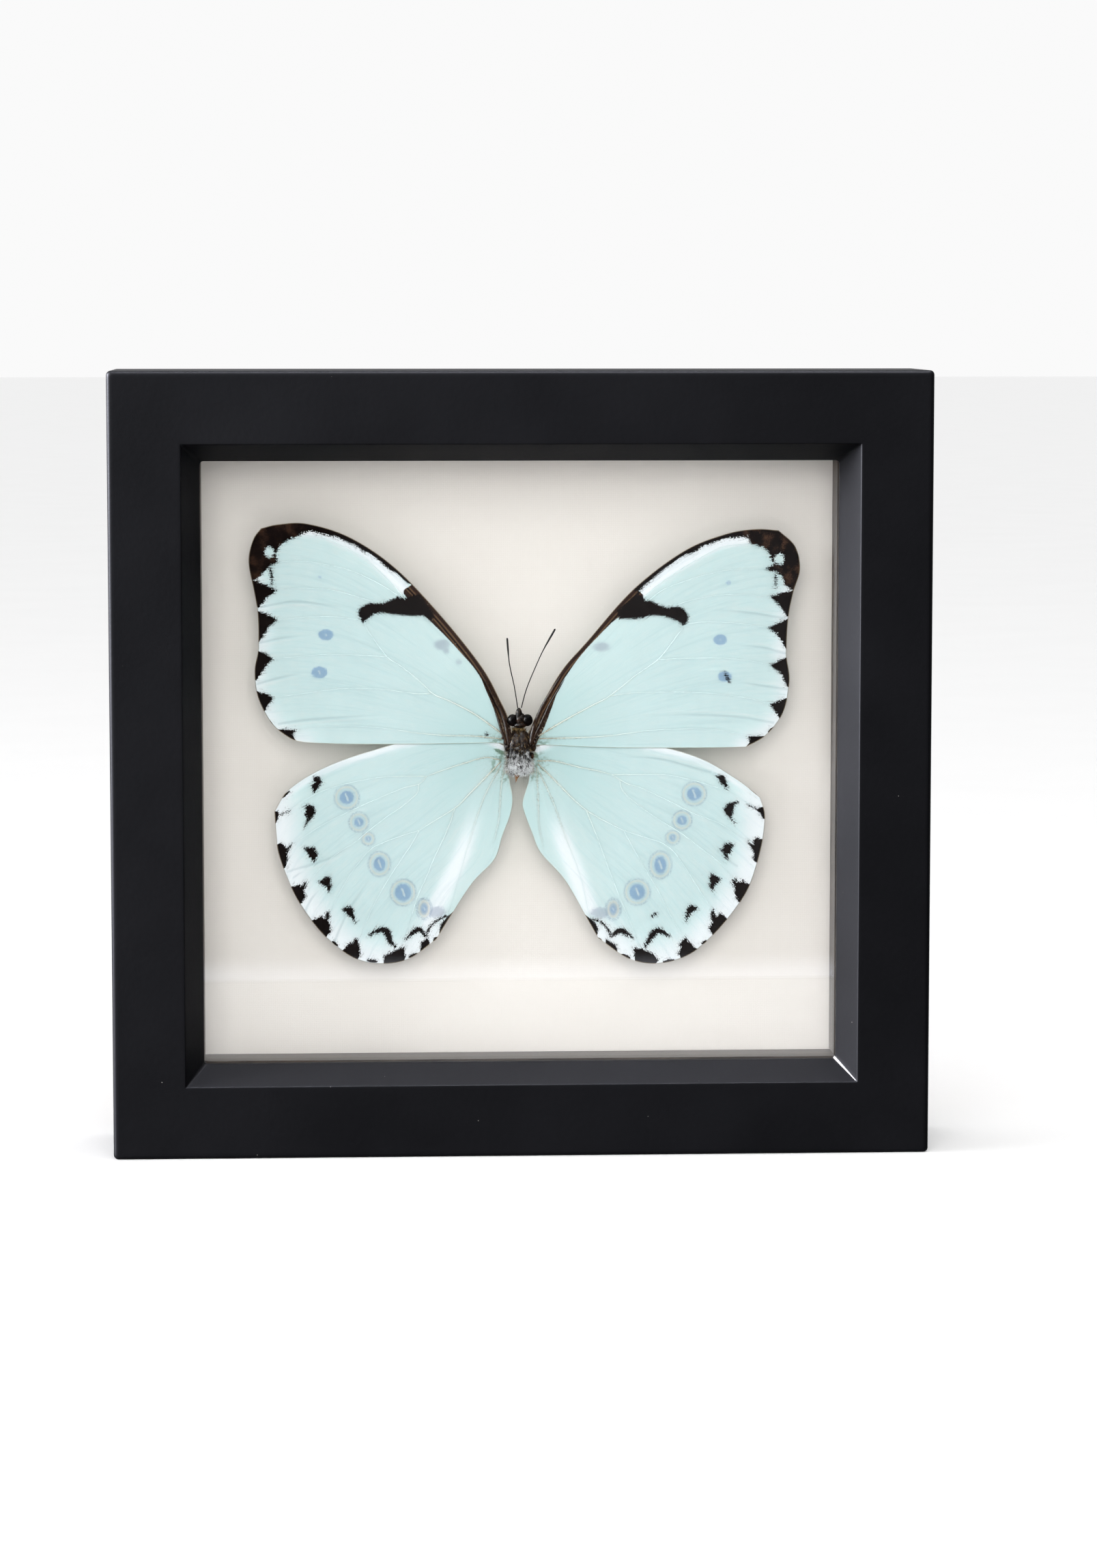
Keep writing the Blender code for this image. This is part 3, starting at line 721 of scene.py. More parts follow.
def inside_distance(points: np.ndarray, outline: np.ndarray) -> np.ndarray:
    """Measure points against a closed outline: their distance to it, positive inside.

    A point is inside when a ray from it crosses the outline an odd number of times.
    """
    closed = np.vstack([outline, outline[:1]])
    away, _ = line_distance(points, closed)
    inside = np.zeros(len(points), bool)
    x, z = points.T
    for (x0, z0), (x1, z1) in zip(closed[:-1], closed[1:]):
        if z0 != z1:
            inside ^= ((z0 > z) != (z1 > z)) & (x < (x1 - x0) * (z - z0) / (z1 - z0) + x0)
    return np.where(inside, away, -away)


def fade(values: np.ndarray, low: float, high: float) -> np.ndarray:
    """Go smoothly from 0 at low to 1 at high."""
    t = np.clip((values - low) / (high - low), 0, 1)
    return t * t * (3 - 2 * t)


def ripple(points: np.ndarray, size: float, seed: int) -> np.ndarray:
    """Make smooth waves over the points: the mean of six sine waves of random direction and phase.

    Args:
        points: The points, one a row.
        size: The length of the longest wave.
        seed: Which waves they are.

    Returns:
        A number from -1 to 1 for each point.
    """
    random = np.random.default_rng(seed)
    turns = random.normal(size=(6, points.shape[1]))
    turns *= 2 * math.pi / size * (1 + random.random((6, 1))) / np.linalg.norm(turns, axis=1)[:, None]
    return np.sin(points @ turns.T + random.random(6) * 2 * math.pi).mean(axis=1)


def grid_faces(index: np.ndarray, wrap_rows: bool = False, wrap_columns: bool = False) -> np.ndarray:
    """Join a grid of vertex numbers into four-sided faces.

    Args:
        index: The vertex numbers, by row and column.
        wrap_rows: True if the last row joins the first.
        wrap_columns: True if the last column joins the first.

    Returns:
        One face a row.
    """
    if wrap_rows:
        index = np.vstack([index, index[:1]])
    if wrap_columns:
        index = np.hstack([index, index[:, :1]])
    corners = index[:-1, :-1], index[1:, :-1], index[1:, 1:], index[:-1, 1:]
    return np.stack([c.ravel() for c in corners], axis=1)


def make_piece(name: str, points: np.ndarray, faces: list[np.ndarray], material: bpy.types.Material,
               marks: dict[str, np.ndarray] | None = None, stands_for: tuple[str, ...] = (),
               ) -> bpy.types.Object:
    """Make one finished piece that rides on the frame.

    Args:
        name: The piece's name.
        points: Its vertices, in metres in the row frame.
        faces: Arrays of faces, each with one number of corners.
        material: Its finish.
        marks: Numbers kept at its vertices, by name.
        stands_for: The frame's nodes that it replaces.

    Returns:
        The new object.
    """
    mesh = bpy.data.meshes.new(name)
    mesh.from_pydata(points.tolist(), [], [face for group in faces for face in group.tolist()])
    for key, values in (marks or {}).items():
        mesh.attributes.new(key, "FLOAT", "POINT").data.foreach_set("value", values.astype(np.float32))
    mesh.materials.append(material)
    mesh.shade_smooth()
    piece = bpy.data.objects.new(name, mesh)
    bpy.context.scene.collection.objects.link(piece)
    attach(piece, "root")
    if stands_for:
        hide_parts(*stands_for)
    LOG.info("%s: %d faces", name, len(mesh.polygons))
    return piece


def tube(path: np.ndarray, radii: np.ndarray, sides: int = 12) -> Shape:
    """Carry a circle along a path and close both ends with a point.

    Each ring lies across the path's direction there; its radius is that point's own.

    Args:
        path: The centreline's points.
        radii: The radius at each.
        sides: How many vertices a ring has.

    Returns:
        The vertices and the arrays of faces.
    """
    along = np.gradient(path, axis=0)
    along /= np.linalg.norm(along, axis=1)[:, None]
    first = np.cross(along, (0.0, 1.0, 0.0))
    first /= np.linalg.norm(first, axis=1)[:, None]
    second = np.cross(along, first)
    angle = np.arange(sides) * 2 * math.pi / sides
    spokes = first[:, None] * np.cos(angle)[:, None] + second[:, None] * np.sin(angle)[:, None]
    rings = path[:, None] + spokes * radii[:, None, None]
    index = np.arange(len(path) * sides).reshape(len(path), sides)
    start, end = index.size, index.size + 1
    near = np.stack([np.full(sides, start), index[0], np.roll(index[0], -1)], axis=1)
    far = np.stack([np.full(sides, end), np.roll(index[-1], -1), index[-1]], axis=1)
    points = np.vstack([rings.reshape(-1, 3), path[:1], path[-1:]])
    return points, [grid_faces(index, wrap_columns=True)[:, ::-1], near[:, ::-1], far[:, ::-1]]


def ball(rows: int, columns: int) -> Shape:
    """Make the directions of a round grid with its poles along Z, and its faces.

    Row angle a runs from pole to pole and column angle b round it: (sin a cos b, sin a sin b, cos a).

    Args:
        rows: Rings between the poles.
        columns: Vertices in a ring.

    Returns:
        The unit directions, with the two poles last, and the arrays of faces.
    """
    a = (np.arange(rows) + 1)[:, None] * math.pi / (rows + 1)
    b = np.arange(columns)[None] * 2 * math.pi / columns
    rings = np.stack(np.broadcast_arrays(np.sin(a) * np.cos(b), np.sin(a) * np.sin(b), np.cos(a)), axis=-1)
    index = np.arange(rows * columns).reshape(rows, columns)
    top = np.stack([np.full(columns, index.size), index[0], np.roll(index[0], -1)], axis=1)
    bottom = np.stack([np.full(columns, index.size + 1), np.roll(index[-1], -1), index[-1]], axis=1)
    points = np.vstack([rings.reshape(-1, 3), (0.0, 0.0, 1.0), (0.0, 0.0, -1.0)])
    return points, [grid_faces(index, wrap_columns=True), top, bottom]


def joined(parts: list[Shape]) -> Shape:
    """Put several shapes' vertices and faces into one list each."""
    starts = np.cumsum([0] + [len(points) for points, _ in parts])
    faces = [group + start for (_, groups), start in zip(parts, starts) for group in groups]
    return np.vstack([points for points, _ in parts]), faces


# The frame and its layers

@dataclass
class ShadowBox:
    """The painted moulding and the layers held in its rebate."""

    face_width: float = 16.1
    bevel_width: float = 3.9
    bevel_depth: float = 8.4
    lip_thickness: float = 1.5
    rebate_wall: float = 14.5
    arris: float = 0.9
    small_arris: float = 0.3
    back_arris: float = 0.6
    hold: float = 0.5                   # distance from an arris to the ring that keeps the flat beside it
    corner_steps: int = 6
    corner_hold: float = 1.2            # the same along the frame, past the end of each corner's arc
    outer_fade: float = 1.5             # how far in the outer corners' rounding fades
    inner_fade: float = 4.0             # how far in from the face the corners' rounding grows again
    corner_radii: tuple = (1.0, 0.5, 0.3, 0.25, 0.9)    # of the corner arcs, from the outer side in
    rails: tuple[str, ...] = ("rail_top", "rail_bottom", "rail_left", "rail_right")
    nodes: dict[str, bpy.types.Object] = field(default_factory=dict)

    def profile(self) -> np.ndarray:
        """Draw the moulding's cross-section.

        Each corner of the section is rounded with an arc, and has one more point on each side of the arc.

        Returns:
            Closed points: distance in from the outer side and depth from the front, in mm.
        """
        low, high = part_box("rail_left")
        depth, lip = (high.y - low.y) / MM, self.face_width + self.bevel_width
        back_of_lip = self.bevel_depth + self.lip_thickness
        corners = [(0.0, 0.0, self.arris), (self.face_width, 0.0, self.small_arris),
                   (lip, self.bevel_depth, self.small_arris), (lip, back_of_lip, 0.15),
                   (self.rebate_wall, back_of_lip, 0.2), (self.rebate_wall, depth, self.back_arris),
                   (0.0, depth, self.back_arris)]
        points = []
        for (u0, d0, _), (u, d, radius), (u1, d1, _) in zip(corners[-1:] + corners[:-1], corners,
                                                           corners[1:] + corners[:1]):
            here = np.array((u, d))
            back, ahead = (np.array(q) - here for q in ((u0, d0), (u1, d1)))
            back, ahead = back / np.linalg.norm(back), ahead / np.linalg.norm(ahead)
            half = math.acos(float(np.clip(back @ ahead, -1, 1))) / 2
            run = radius / math.tan(half)
            centre = here + (back + ahead) / np.linalg.norm(back + ahead) * radius / math.sin(half)
            start, end = here + back * run - centre, here + ahead * run - centre
            turn = math.pi - 2 * half
            t = np.linspace(0, 1, self.corner_steps)[:, None]
            arc = centre + (start * np.sin((1 - t) * turn) + end * np.sin(t * turn)) / math.sin(turn)
            points += [here + back * (run + self.hold), *arc, here + ahead * (run + self.hold)]
        return np.array(points)

    def build(self) -> bpy.types.Object:
        """Carry the profile round the frame as one painted moulding.

        Every point of the profile follows a rectangle that far in from the outside, whose corners are arcs.
        """
        section = self.profile()
        inset, depth = section.T
        lows, highs = zip(*(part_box(rail) for rail in self.rails))
        low, high = np.min([list(v) for v in lows], axis=0), np.max([list(v) for v in highs], axis=0)
        bends = [0.0, self.outer_fade, self.rebate_wall, self.face_width, self.face_width + self.inner_fade]
        radius = np.interp(inset, bends, self.corner_radii)
        angle = np.linspace(0, math.pi / 2, self.corner_steps)
        half = np.array([(high[0] - low[0]) / 2 / MM, (high[2] - low[2]) / 2 / MM])
        runs = []
        for quarter, (sx, sz) in enumerate(((1, 1), (-1, 1), (-1, -1), (1, -1))):
            turn = angle + quarter * math.pi / 2
            away = np.stack([np.cos(turn), np.sin(turn)], axis=-1)
            centre = np.array((sx, sz)) * (half - inset[:, None] - radius[:, None])
            arc = centre[None] + away[:, None] * radius[:, None]
            before, after = np.roll(away[0], 1) * (1, -1), np.roll(away[-1], 1) * (-1, 1)
            runs.append(np.concatenate([arc[:1] + before * self.corner_hold, arc,
                                        arc[-1:] + after * self.corner_hold]))
        ring = np.concatenate(runs)
        x = ring[..., 0] * MM + (low[0] + high[0]) / 2
        z = ring[..., 1] * MM + (low[2] + high[2]) / 2
        points = np.stack([x, np.broadcast_to(low[1] + depth * MM, x.shape), z], axis=-1)
        index = np.arange(x.size).reshape(x.shape)
        # where the painted highlight lies along the lower right inner mitre
        painted_gleam = self.painted_mitre_gleam(ring, inset, half)
        return make_piece("frame_moulding", points.reshape(-1, 3),
                          [grid_faces(index, wrap_rows=True, wrap_columns=True)],
                          SatinBlackPaint().material(), {"painted_gleam": painted_gleam.ravel()}, self.rails)

    def painted_mitre_gleam(self, ring: np.ndarray, inset: np.ndarray, half: np.ndarray) -> np.ndarray:
        """Mark the inner mitre at the lower right corner, where a highlight is painted into the paint's
        colour.

        Args:
            ring: Points round the frame, by step and profile point, from its middle.
            inset: How far in each profile point is.
            half: Half the frame's width and height.

        Returns:
            1 along the middle of the mitre and 0 away from it.
        """
        right, down = half[0] - ring[..., 0], half[1] + ring[..., 1]
        off = np.abs(right - down)
        bevel = fade(inset, self.face_width - 0.1, self.face_width + 0.4)
        wide = 0.3 * fade(inset, self.face_width, self.face_width + self.bevel_width)
        return bevel * (1 - fade(off, wide, wide + 0.3)) * (ring[..., 0] > 0) * (ring[..., 1] < 0)

    def dress(self) -> None:
        """Give every layer behind the moulding its own finish."""
        finishes = {
            PictureGlass().material(): ("glass",),
            StainedWood(Grain.ACROSS).material(): ("spacer_top", "spacer_bottom"),
            StainedWood(Grain.UP).material(): ("spacer_left", "spacer_right"),
            LinenPaper().material(): ("backing_paper",),
            FoamBoard().material(): ("mount_board",),
            Hardboard().material(): ("back_board",),
            Cork().material(): ("specimen_mount",),
            ZincSteel().material(): tuple(n for n in self.nodes if n.startswith(("tab_", "hanger", "nail_"))),
        }
        for material, names in finishes.items():
            for name in names:
                mesh = self.nodes[name].data
                mesh.materials.clear()
                mesh.materials.append(material)
                LOG.info("%s: dressed in %s", name, material.name)


# The wings

@dataclass(frozen=True)
class Vein:
    """A raised vein and its radius at its root and tip."""

    line: Line
    root: float = 0.12
    tip: float = 0.07


@dataclass(frozen=True)
class Stroke:
    """A drawn line, widest in its middle."""

    line: Line
    half_width: float = 0.45
    tip: float = 0.1


@dataclass(frozen=True)
class EyeSpot:
    """A blue spot, with a pale ring and a dotted halo round it where they have a size."""

    centre: Point
    blue: Point
    ring: Point = (0.0, 0.0)
    halo: Point = (0.0, 0.0)
    pupil: float = 0.0


@dataclass(frozen=True)
class WingDesign:
    """One wing's outline and marks, in mm across and up from the middle of the thorax.

    The outline runs along the leading edge, down the outer margin and back along the inner edge.
    """

    node: str
    leading: Line
    margin: Line
    inner: Line
    patches: tuple[Line, ...]
    veins: tuple[Vein, ...]
    folds: tuple[Line, ...]
    strokes: tuple[Stroke, ...] = ()
    holes: tuple[EyeSpot, ...] = ()
    spots: tuple[EyeSpot, ...] = ()
    smudges: tuple[EyeSpot, ...] = ()
    window: Line = ()
    bundle: Line = ()
    strip: Line = ()
    streak: Line = ()
    margin_reach: float = 5.0
    margin_pale: float = 0.7
    rust: float = 0.0


def trace(*tenths: int) -> Line:
    """Pair up coordinates, across and up in tenths of a millimetre, into points in millimetres."""
    return tuple((x / 10, z / 10) for x, z in zip(tenths[::2], tenths[1::2]))


def traces(*groups: tuple[int, ...]) -> tuple[Line, ...]:
    """Make one line of each group of coordinates."""
    return tuple(trace(*group) for group in groups)


FOREWING_LEFT = WingDesign(
    node="forewing_left",
    leading=trace(-14, 26, -19, 46, -27, 74, -41, 104, -83, 182, -170, 293, -276, 405, -377, 474, -472, 505,
        -536, 504, -576, 495),
    margin=trace(-576, 495, -594, 469, -604, 420, -592, 353, -584, 300, -584, 225, -592, 178, -586, 120,
        -556, 60, -514, 25, -482, 15),
    inner=trace(-482, 15, -380, 11, -200, 11, -60, 12, -30, 8, -14, 4),
    patches=traces(
        (-574, 515, -487, 520, -487, 480, -511, 472, -534, 458, -544, 437, -538, 420, -556, 412, -569, 399,
         -586, 380, -610, 380, -620, 433, -610, 494),
        (-502, 520, -434, 508, -383, 486, -315, 446, -246, 388, -230, 365, -251, 374, -272, 394, -289, 402,
         -312, 423, -332, 439, -349, 445, -368, 460, -389, 467, -412, 477, -434, 481, -468, 490, -502, 479),
        (-603, 380, -571, 371, -543, 357, -565, 339, -583, 318, -602, 348),
        (-596, 313, -565, 304, -540, 291, -561, 275, -583, 241, -599, 279),
        (-594, 223, -570, 216, -551, 204, -566, 189, -589, 156, -604, 163, -601, 198),
        (-596, 133, -570, 125, -551, 116, -562, 101, -573, 84, -589, 96),
        (-77, 31, -74, 34, -71, 31, -74, 28),
        (-545, 44, -517, 44, -501, 43, -509, 32, -499, 14, -522, 14),
        (-225, 347, -257, 338, -272, 341, -287, 334, -302, 327, -334, 327, -353, 319, -359, 308, -357, 295,
         -349, 285, -339, 293, -326, 303, -310, 307, -290, 304, -264, 301, -240, 299, -215, 300, -198, 287,
         -191, 304)),
    strokes=(Stroke(trace(-557, 407, -553, 390, -552, 370), 0.2), Stroke(trace(-566, 67, -554, 55), 0.3)),
    holes=(EyeSpot((-55.8, 44.2), (1.0, 1.15)),),
    spots=(EyeSpot((-43.3, 25.7), (1.9, 1.4), pupil=0.2), EyeSpot((-44.8, 17.3), (2.0, 1.5), pupil=0.45),
        EyeSpot((-44.6, 38.6), (0.5, 0.45))),
    smudges=(EyeSpot((-17.4, 23.4), (1.7, 1.2)), EyeSpot((-16.4, 22.2), (0.7, 0.7)),
        EyeSpot((-13.6, 19.5), (0.6, 0.6))),
    bundle=trace(-244, 367, -229, 372, -174, 314, -120, 246, -72, 184, -32, 120, -16, 80, -6, 47, 0, 15,
        -30, 9, -37, 26, -48, 62, -59, 100, -76, 138, -98, 176, -130, 214, -165, 252, -212, 299, -259, 349),
    strip=trace(-251, 365, -294, 414, -340, 450, -389, 477, -434, 493, -487, 496, -485, 480, -434, 473,
        -383, 449, -340, 424, -294, 381, -262, 349),
    veins=(Vein(trace(-262, 344, -294, 381, -340, 424, -383, 449, -434, 473, -485, 480), 0.13, 0.08),
        Vein(trace(-272, 345, -315, 372, -379, 401, -443, 416, -494, 422, -543, 419)),
        Vein(trace(-328, 331, -379, 347, -418, 357, -464, 361, -516, 361, -545, 357)),
        Vein(trace(-358, 290, -414, 298, -452, 298, -495, 295, -541, 290)),
        Vein(trace(-37, 32, -101, 78, -153, 106, -194, 124, -230, 158, -271, 190, -296, 207, -324, 244,
            -349, 283), 0.2, 0.12),
        Vein(trace(-296, 207, -333, 210, -384, 212, -435, 213, -495, 208, -548, 204)),
        Vein(trace(-194, 124, -239, 125, -294, 133, -359, 137, -418, 134, -487, 125, -551, 116)),
        Vein(trace(-37, 21, -102, 28, -166, 30, -230, 36, -295, 46, -359, 52, -419, 51, -470, 49, -500,
            42), 0.14, 0.06)),
    folds=traces(
        (-469, 253, -529, 247, -580, 236),
        (-478, 169, -530, 159, -585, 144),
        (-294, 74, -380, 70, -466, 64, -539, 54),
        (-379, 315, -443, 322, -507, 328, -576, 316)),
    rust=0.45,
)

FOREWING_RIGHT = WingDesign(
    node="forewing_right",
    leading=trace(14, 26, 25, 46, 37, 74, 52, 103, 96, 177, 152, 241, 255, 357, 368, 442, 462, 480, 530, 491,
        582, 488),
    margin=trace(582, 488, 619, 452, 630, 400, 615, 347, 604, 286, 601, 210, 608, 150, 594, 78, 556, 27,
        510, 0),
    inner=trace(510, 0, 397, -1, 200, 1, 60, 7, 30, 6, 14, 4),
    patches=traces(
        (513, 472, 519, 459, 545, 452, 562, 437, 564, 424, 572, 411, 552, 402, 576, 397, 590, 386, 597, 368,
         609, 356, 634, 355, 650, 411, 625, 479, 565, 510, 507, 502),
        (358, 428, 372, 434, 392, 441, 410, 452, 439, 464, 457, 469, 489, 474, 513, 472, 506, 504, 462, 494,
         408, 472, 354, 441, 300, 398, 255, 356, 266, 352, 314, 395),
        (628, 355, 593, 348, 564, 339, 584, 321, 603, 294, 626, 325),
        (612, 292, 584, 280, 560, 269, 582, 253, 602, 220, 617, 253),
        (610, 205, 585, 195, 564, 185, 587, 168, 605, 135, 622, 163),
        (608, 112, 581, 102, 563, 97, 576, 82, 589, 62, 609, 82),
        (516, 24, 532, 25, 552, 24, 534, 6, 507, -6, 519, 10),
        (264, 347, 278, 339, 282, 332, 299, 330, 312, 321, 330, 315, 351, 319, 369, 312, 378, 296, 376, 281,
         367, 275, 355, 286, 336, 293, 318, 299, 298, 299, 278, 294, 260, 291, 237, 292, 224, 291, 219, 309)),
    strokes=(Stroke(trace(575, 388, 576, 362), 0.2), Stroke(trace(562, 34, 575, 44), 0.3),
        Stroke(trace(461, 168, 466, 159, 473, 148), 0.2)),
    holes=(EyeSpot((58.4, 42.4), (1.05, 1.2)),),
    spots=(EyeSpot((45.1, 24.3), (1.7, 1.35), pupil=0.15), EyeSpot((46.2, 16.0), (1.8, 1.35), pupil=0.15),
        EyeSpot((46.9, 37.1), (0.7, 0.6), pupil=0.2)),
    smudges=(EyeSpot((18.4, 22.8), (1.9, 1.05)),),
    bundle=trace(262, 358, 250, 366, 209, 332, 160, 280, 112, 228, 80, 184, 48, 134, 24, 90, 10, 56, 0, 15,
        34, 9, 45, 25, 53, 40, 62, 62, 76, 100, 90, 138, 114, 176, 142, 214, 179, 254, 219, 292, 255, 310,
        278, 340),
    strip=trace(269, 357, 314, 400, 358, 434, 408, 463, 457, 482, 516, 484, 514, 459, 457, 452, 417, 434,
        363, 402, 314, 369, 278, 342),
    veins=(Vein(trace(278, 338, 314, 369, 363, 402, 417, 434, 457, 452, 514, 459), 0.13, 0.08),
        Vein(trace(291, 333, 327, 358, 394, 382, 462, 398, 552, 402)),
        Vein(trace(354, 322, 399, 335, 462, 344, 516, 343, 564, 339)),
        Vein(trace(377, 280, 422, 283, 472, 281, 517, 276, 560, 269)),
        Vein(trace(40, 26, 98, 61, 157, 93, 202, 117, 256, 160, 312, 200, 341, 236, 368, 272), 0.22, 0.13),
        Vein(trace(312, 199, 364, 201, 436, 202, 508, 197, 564, 185)),
        Vein(trace(202, 117, 256, 124, 350, 126, 441, 121, 508, 112, 563, 97)),
        Vein(trace(35, 22, 103, 23, 193, 27, 283, 38, 351, 42, 418, 42, 473, 35, 516, 24), 0.15, 0.06)),
    folds=traces(
        (481, 236, 544, 229, 598, 215),
        (486, 152, 544, 143, 603, 134),
        (417, 315, 508, 308, 598, 294),
        (283, 74, 373, 78, 486, 73, 572, 59)),
    margin_pale=0.85,
    rust=1.0,
)

HINDWING_LEFT = WingDesign(
    node="hindwing_left",
    leading=trace(-20, -9, -42, 9, -90, 30, -200, 29, -317, 0, -432, -39, -515, -89, -550, -140),
    margin=trace(-550, -140, -547, -190, -539, -245, -501, -339, -440, -423, -372, -475, -310, -488,
        -249, -477, -188, -434),
    inner=trace(-188, -434, -153, -377, -104, -303, -56, -252, -38, -199, -20, -150, -15, -114, -21, -80,
        -24, -56, -20, -42),
    patches=traces(
        (-463, -63, -450, -62, -443, -76, -452, -87, -461, -99, -467, -83, -459, -75),
        (-484, -131, -475, -127, -462, -130, -458, -143, -464, -153, -472, -161, -483, -177, -477, -159,
         -480, -150, -479, -135),
        (-549, -141, -541, -142, -539, -148, -543, -156, -547, -166, -552, -171, -559, -154),
        (-549, -219, -536, -213, -530, -218, -523, -224, -512, -216, -519, -228, -522, -236, -521, -248,
         -523, -260, -527, -268, -532, -270, -545, -266),
        (-484, -224, -472, -224, -460, -223, -458, -231, -453, -237, -456, -246, -462, -257, -465, -249,
         -473, -246, -475, -237),
        (-515, -313, -502, -309, -496, -309, -490, -311, -484, -300, -479, -301, -481, -312, -486, -319,
         -483, -327, -482, -336, -486, -343, -493, -350, -509, -348),
        (-452, -300, -444, -297, -436, -290, -426, -289, -425, -300, -425, -312, -429, -326, -431, -317,
         -436, -312, -443, -308),
        (-469, -390, -454, -384, -446, -381, -439, -384, -435, -372, -431, -368, -427, -379, -433, -388,
         -427, -397, -426, -408, -429, -417, -436, -426, -456, -426),
        (-399, -364, -392, -360, -380, -357, -375, -364, -373, -378, -369, -395, -376, -386, -382, -379,
         -389, -372),
        (-399, -459, -390, -448, -382, -440, -375, -441, -373, -432, -368, -430, -363, -441, -360, -454,
         -359, -464, -365, -476, -374, -486, -396, -474),
        (-305, -471, -288, -461, -261, -450, -258, -471, -265, -496, -306, -500),
        (-221, -440, -209, -430, -203, -439, -206, -456, -224, -470),
        (-149, -371, -163, -383, -177, -400, -180, -418, -172, -432, -150, -396)),
    strokes=(Stroke(trace(-337, -422, -316, -411, -299, -415, -292, -436, -280, -449), 0.68, 0.12),
        Stroke(trace(-257, -431, -234, -412, -223, -412, -211, -427), 0.55, 0.12),
        Stroke(trace(-211, -427, -200, -402, -180, -387, -163, -380), 0.17, 0.12),
        Stroke(trace(-249, -473, -231, -466), 0.3), Stroke(trace(-193, -436, -186, -429), 0.28),
        Stroke(trace(-343, -480, -321, -483), 0.26), Stroke(trace(-421, -437, -409, -446), 0.2),
        Stroke(trace(-538, -150, -515, -138), 0.13, 0.05), Stroke(trace(-532, -109, -516, -96), 0.16)),
    spots=(EyeSpot((-38.8, -11.0), (1.75, 1.65), (2.35, 2.35), (2.8, 2.8), 0.8),
        EyeSpot((-36.1, -16.6), (1.2, 1.2), (1.8, 1.8), (2.2, 2.2), 0.5),
        EyeSpot((-34.0, -20.4), (0.75, 0.75), (1.15, 1.15), (1.5, 1.5), 0.25),
        EyeSpot((-31.5, -26.1), (1.5, 1.8), (2.1, 2.35), (2.5, 2.8), 0.8),
        EyeSpot((-26.2, -32.6), (2.0, 2.1), (2.5, 2.6), (2.85, 3.0), 0.8),
        EyeSpot((-21.5, -36.3), (0.7, 1.1), (1.1, 1.7), (1.7, 2.3), 0.3)),
    smudges=(EyeSpot((-18.6, -37.1), (2.2, 1.3)), EyeSpot((-21.5, -36.3), (1.4, 1.9))),
    window=trace(-60, -1, -46, -2, -32, -9, -28, -19, -40, -16, -52, -10),
    streak=trace(-61, -72, -100, -160, -134, -252, -180, -344, -203, -398),
    veins=(Vein(trace(-42, -28, -77, -22, -126, -35, -172, -50, -208, -63), 0.14, 0.1),
        Vein(trace(-208, -63, -260, -63, -309, -65, -355, -72, -412, -85, -462, -104, -515, -135)),
        Vein(trace(-208, -63, -226, -81, -256, -88, -294, -103, -348, -126, -393, -147, -439, -170, -508,
            -213)),
        Vein(trace(-226, -81, -231, -102, -260, -128, -302, -157, -340, -186, -371, -212, -413, -239, -451,
            -273, -478, -308)),
        Vein(trace(-42, -32, -77, -68, -111, -102, -142, -133, -188, -162, -226, -186), 0.17, 0.12),
        Vein(trace(-226, -186, -260, -196, -302, -211, -333, -226, -356, -251, -379, -281, -398, -312,
            -417, -350, -429, -377)),
        Vein(trace(-226, -186, -241, -213, -264, -248, -287, -282, -310, -320, -333, -363, -356, -420)),
        Vein(trace(-146, -137, -157, -171, -172, -206, -192, -248, -211, -294, -230, -336, -249, -398,
            -265, -444)), Vein(trace(-40, -38, -77, -106, -107, -191, -134, -283, -161, -379), 0.09, 0.05),
        Vein(trace(-35, -47, -42, -99, -46, -160, -58, -214), 0.09, 0.05)),
    folds=traces(
        (-371, -212, -424, -250, -520, -281),
        (-325, -286, -356, -328, -387, -378, -414, -439),
        (-440, -315, -464, -340, -482, -374),
        (-468, -266, -506, -294)),
    margin_reach=8.5,
    margin_pale=1.0,
)

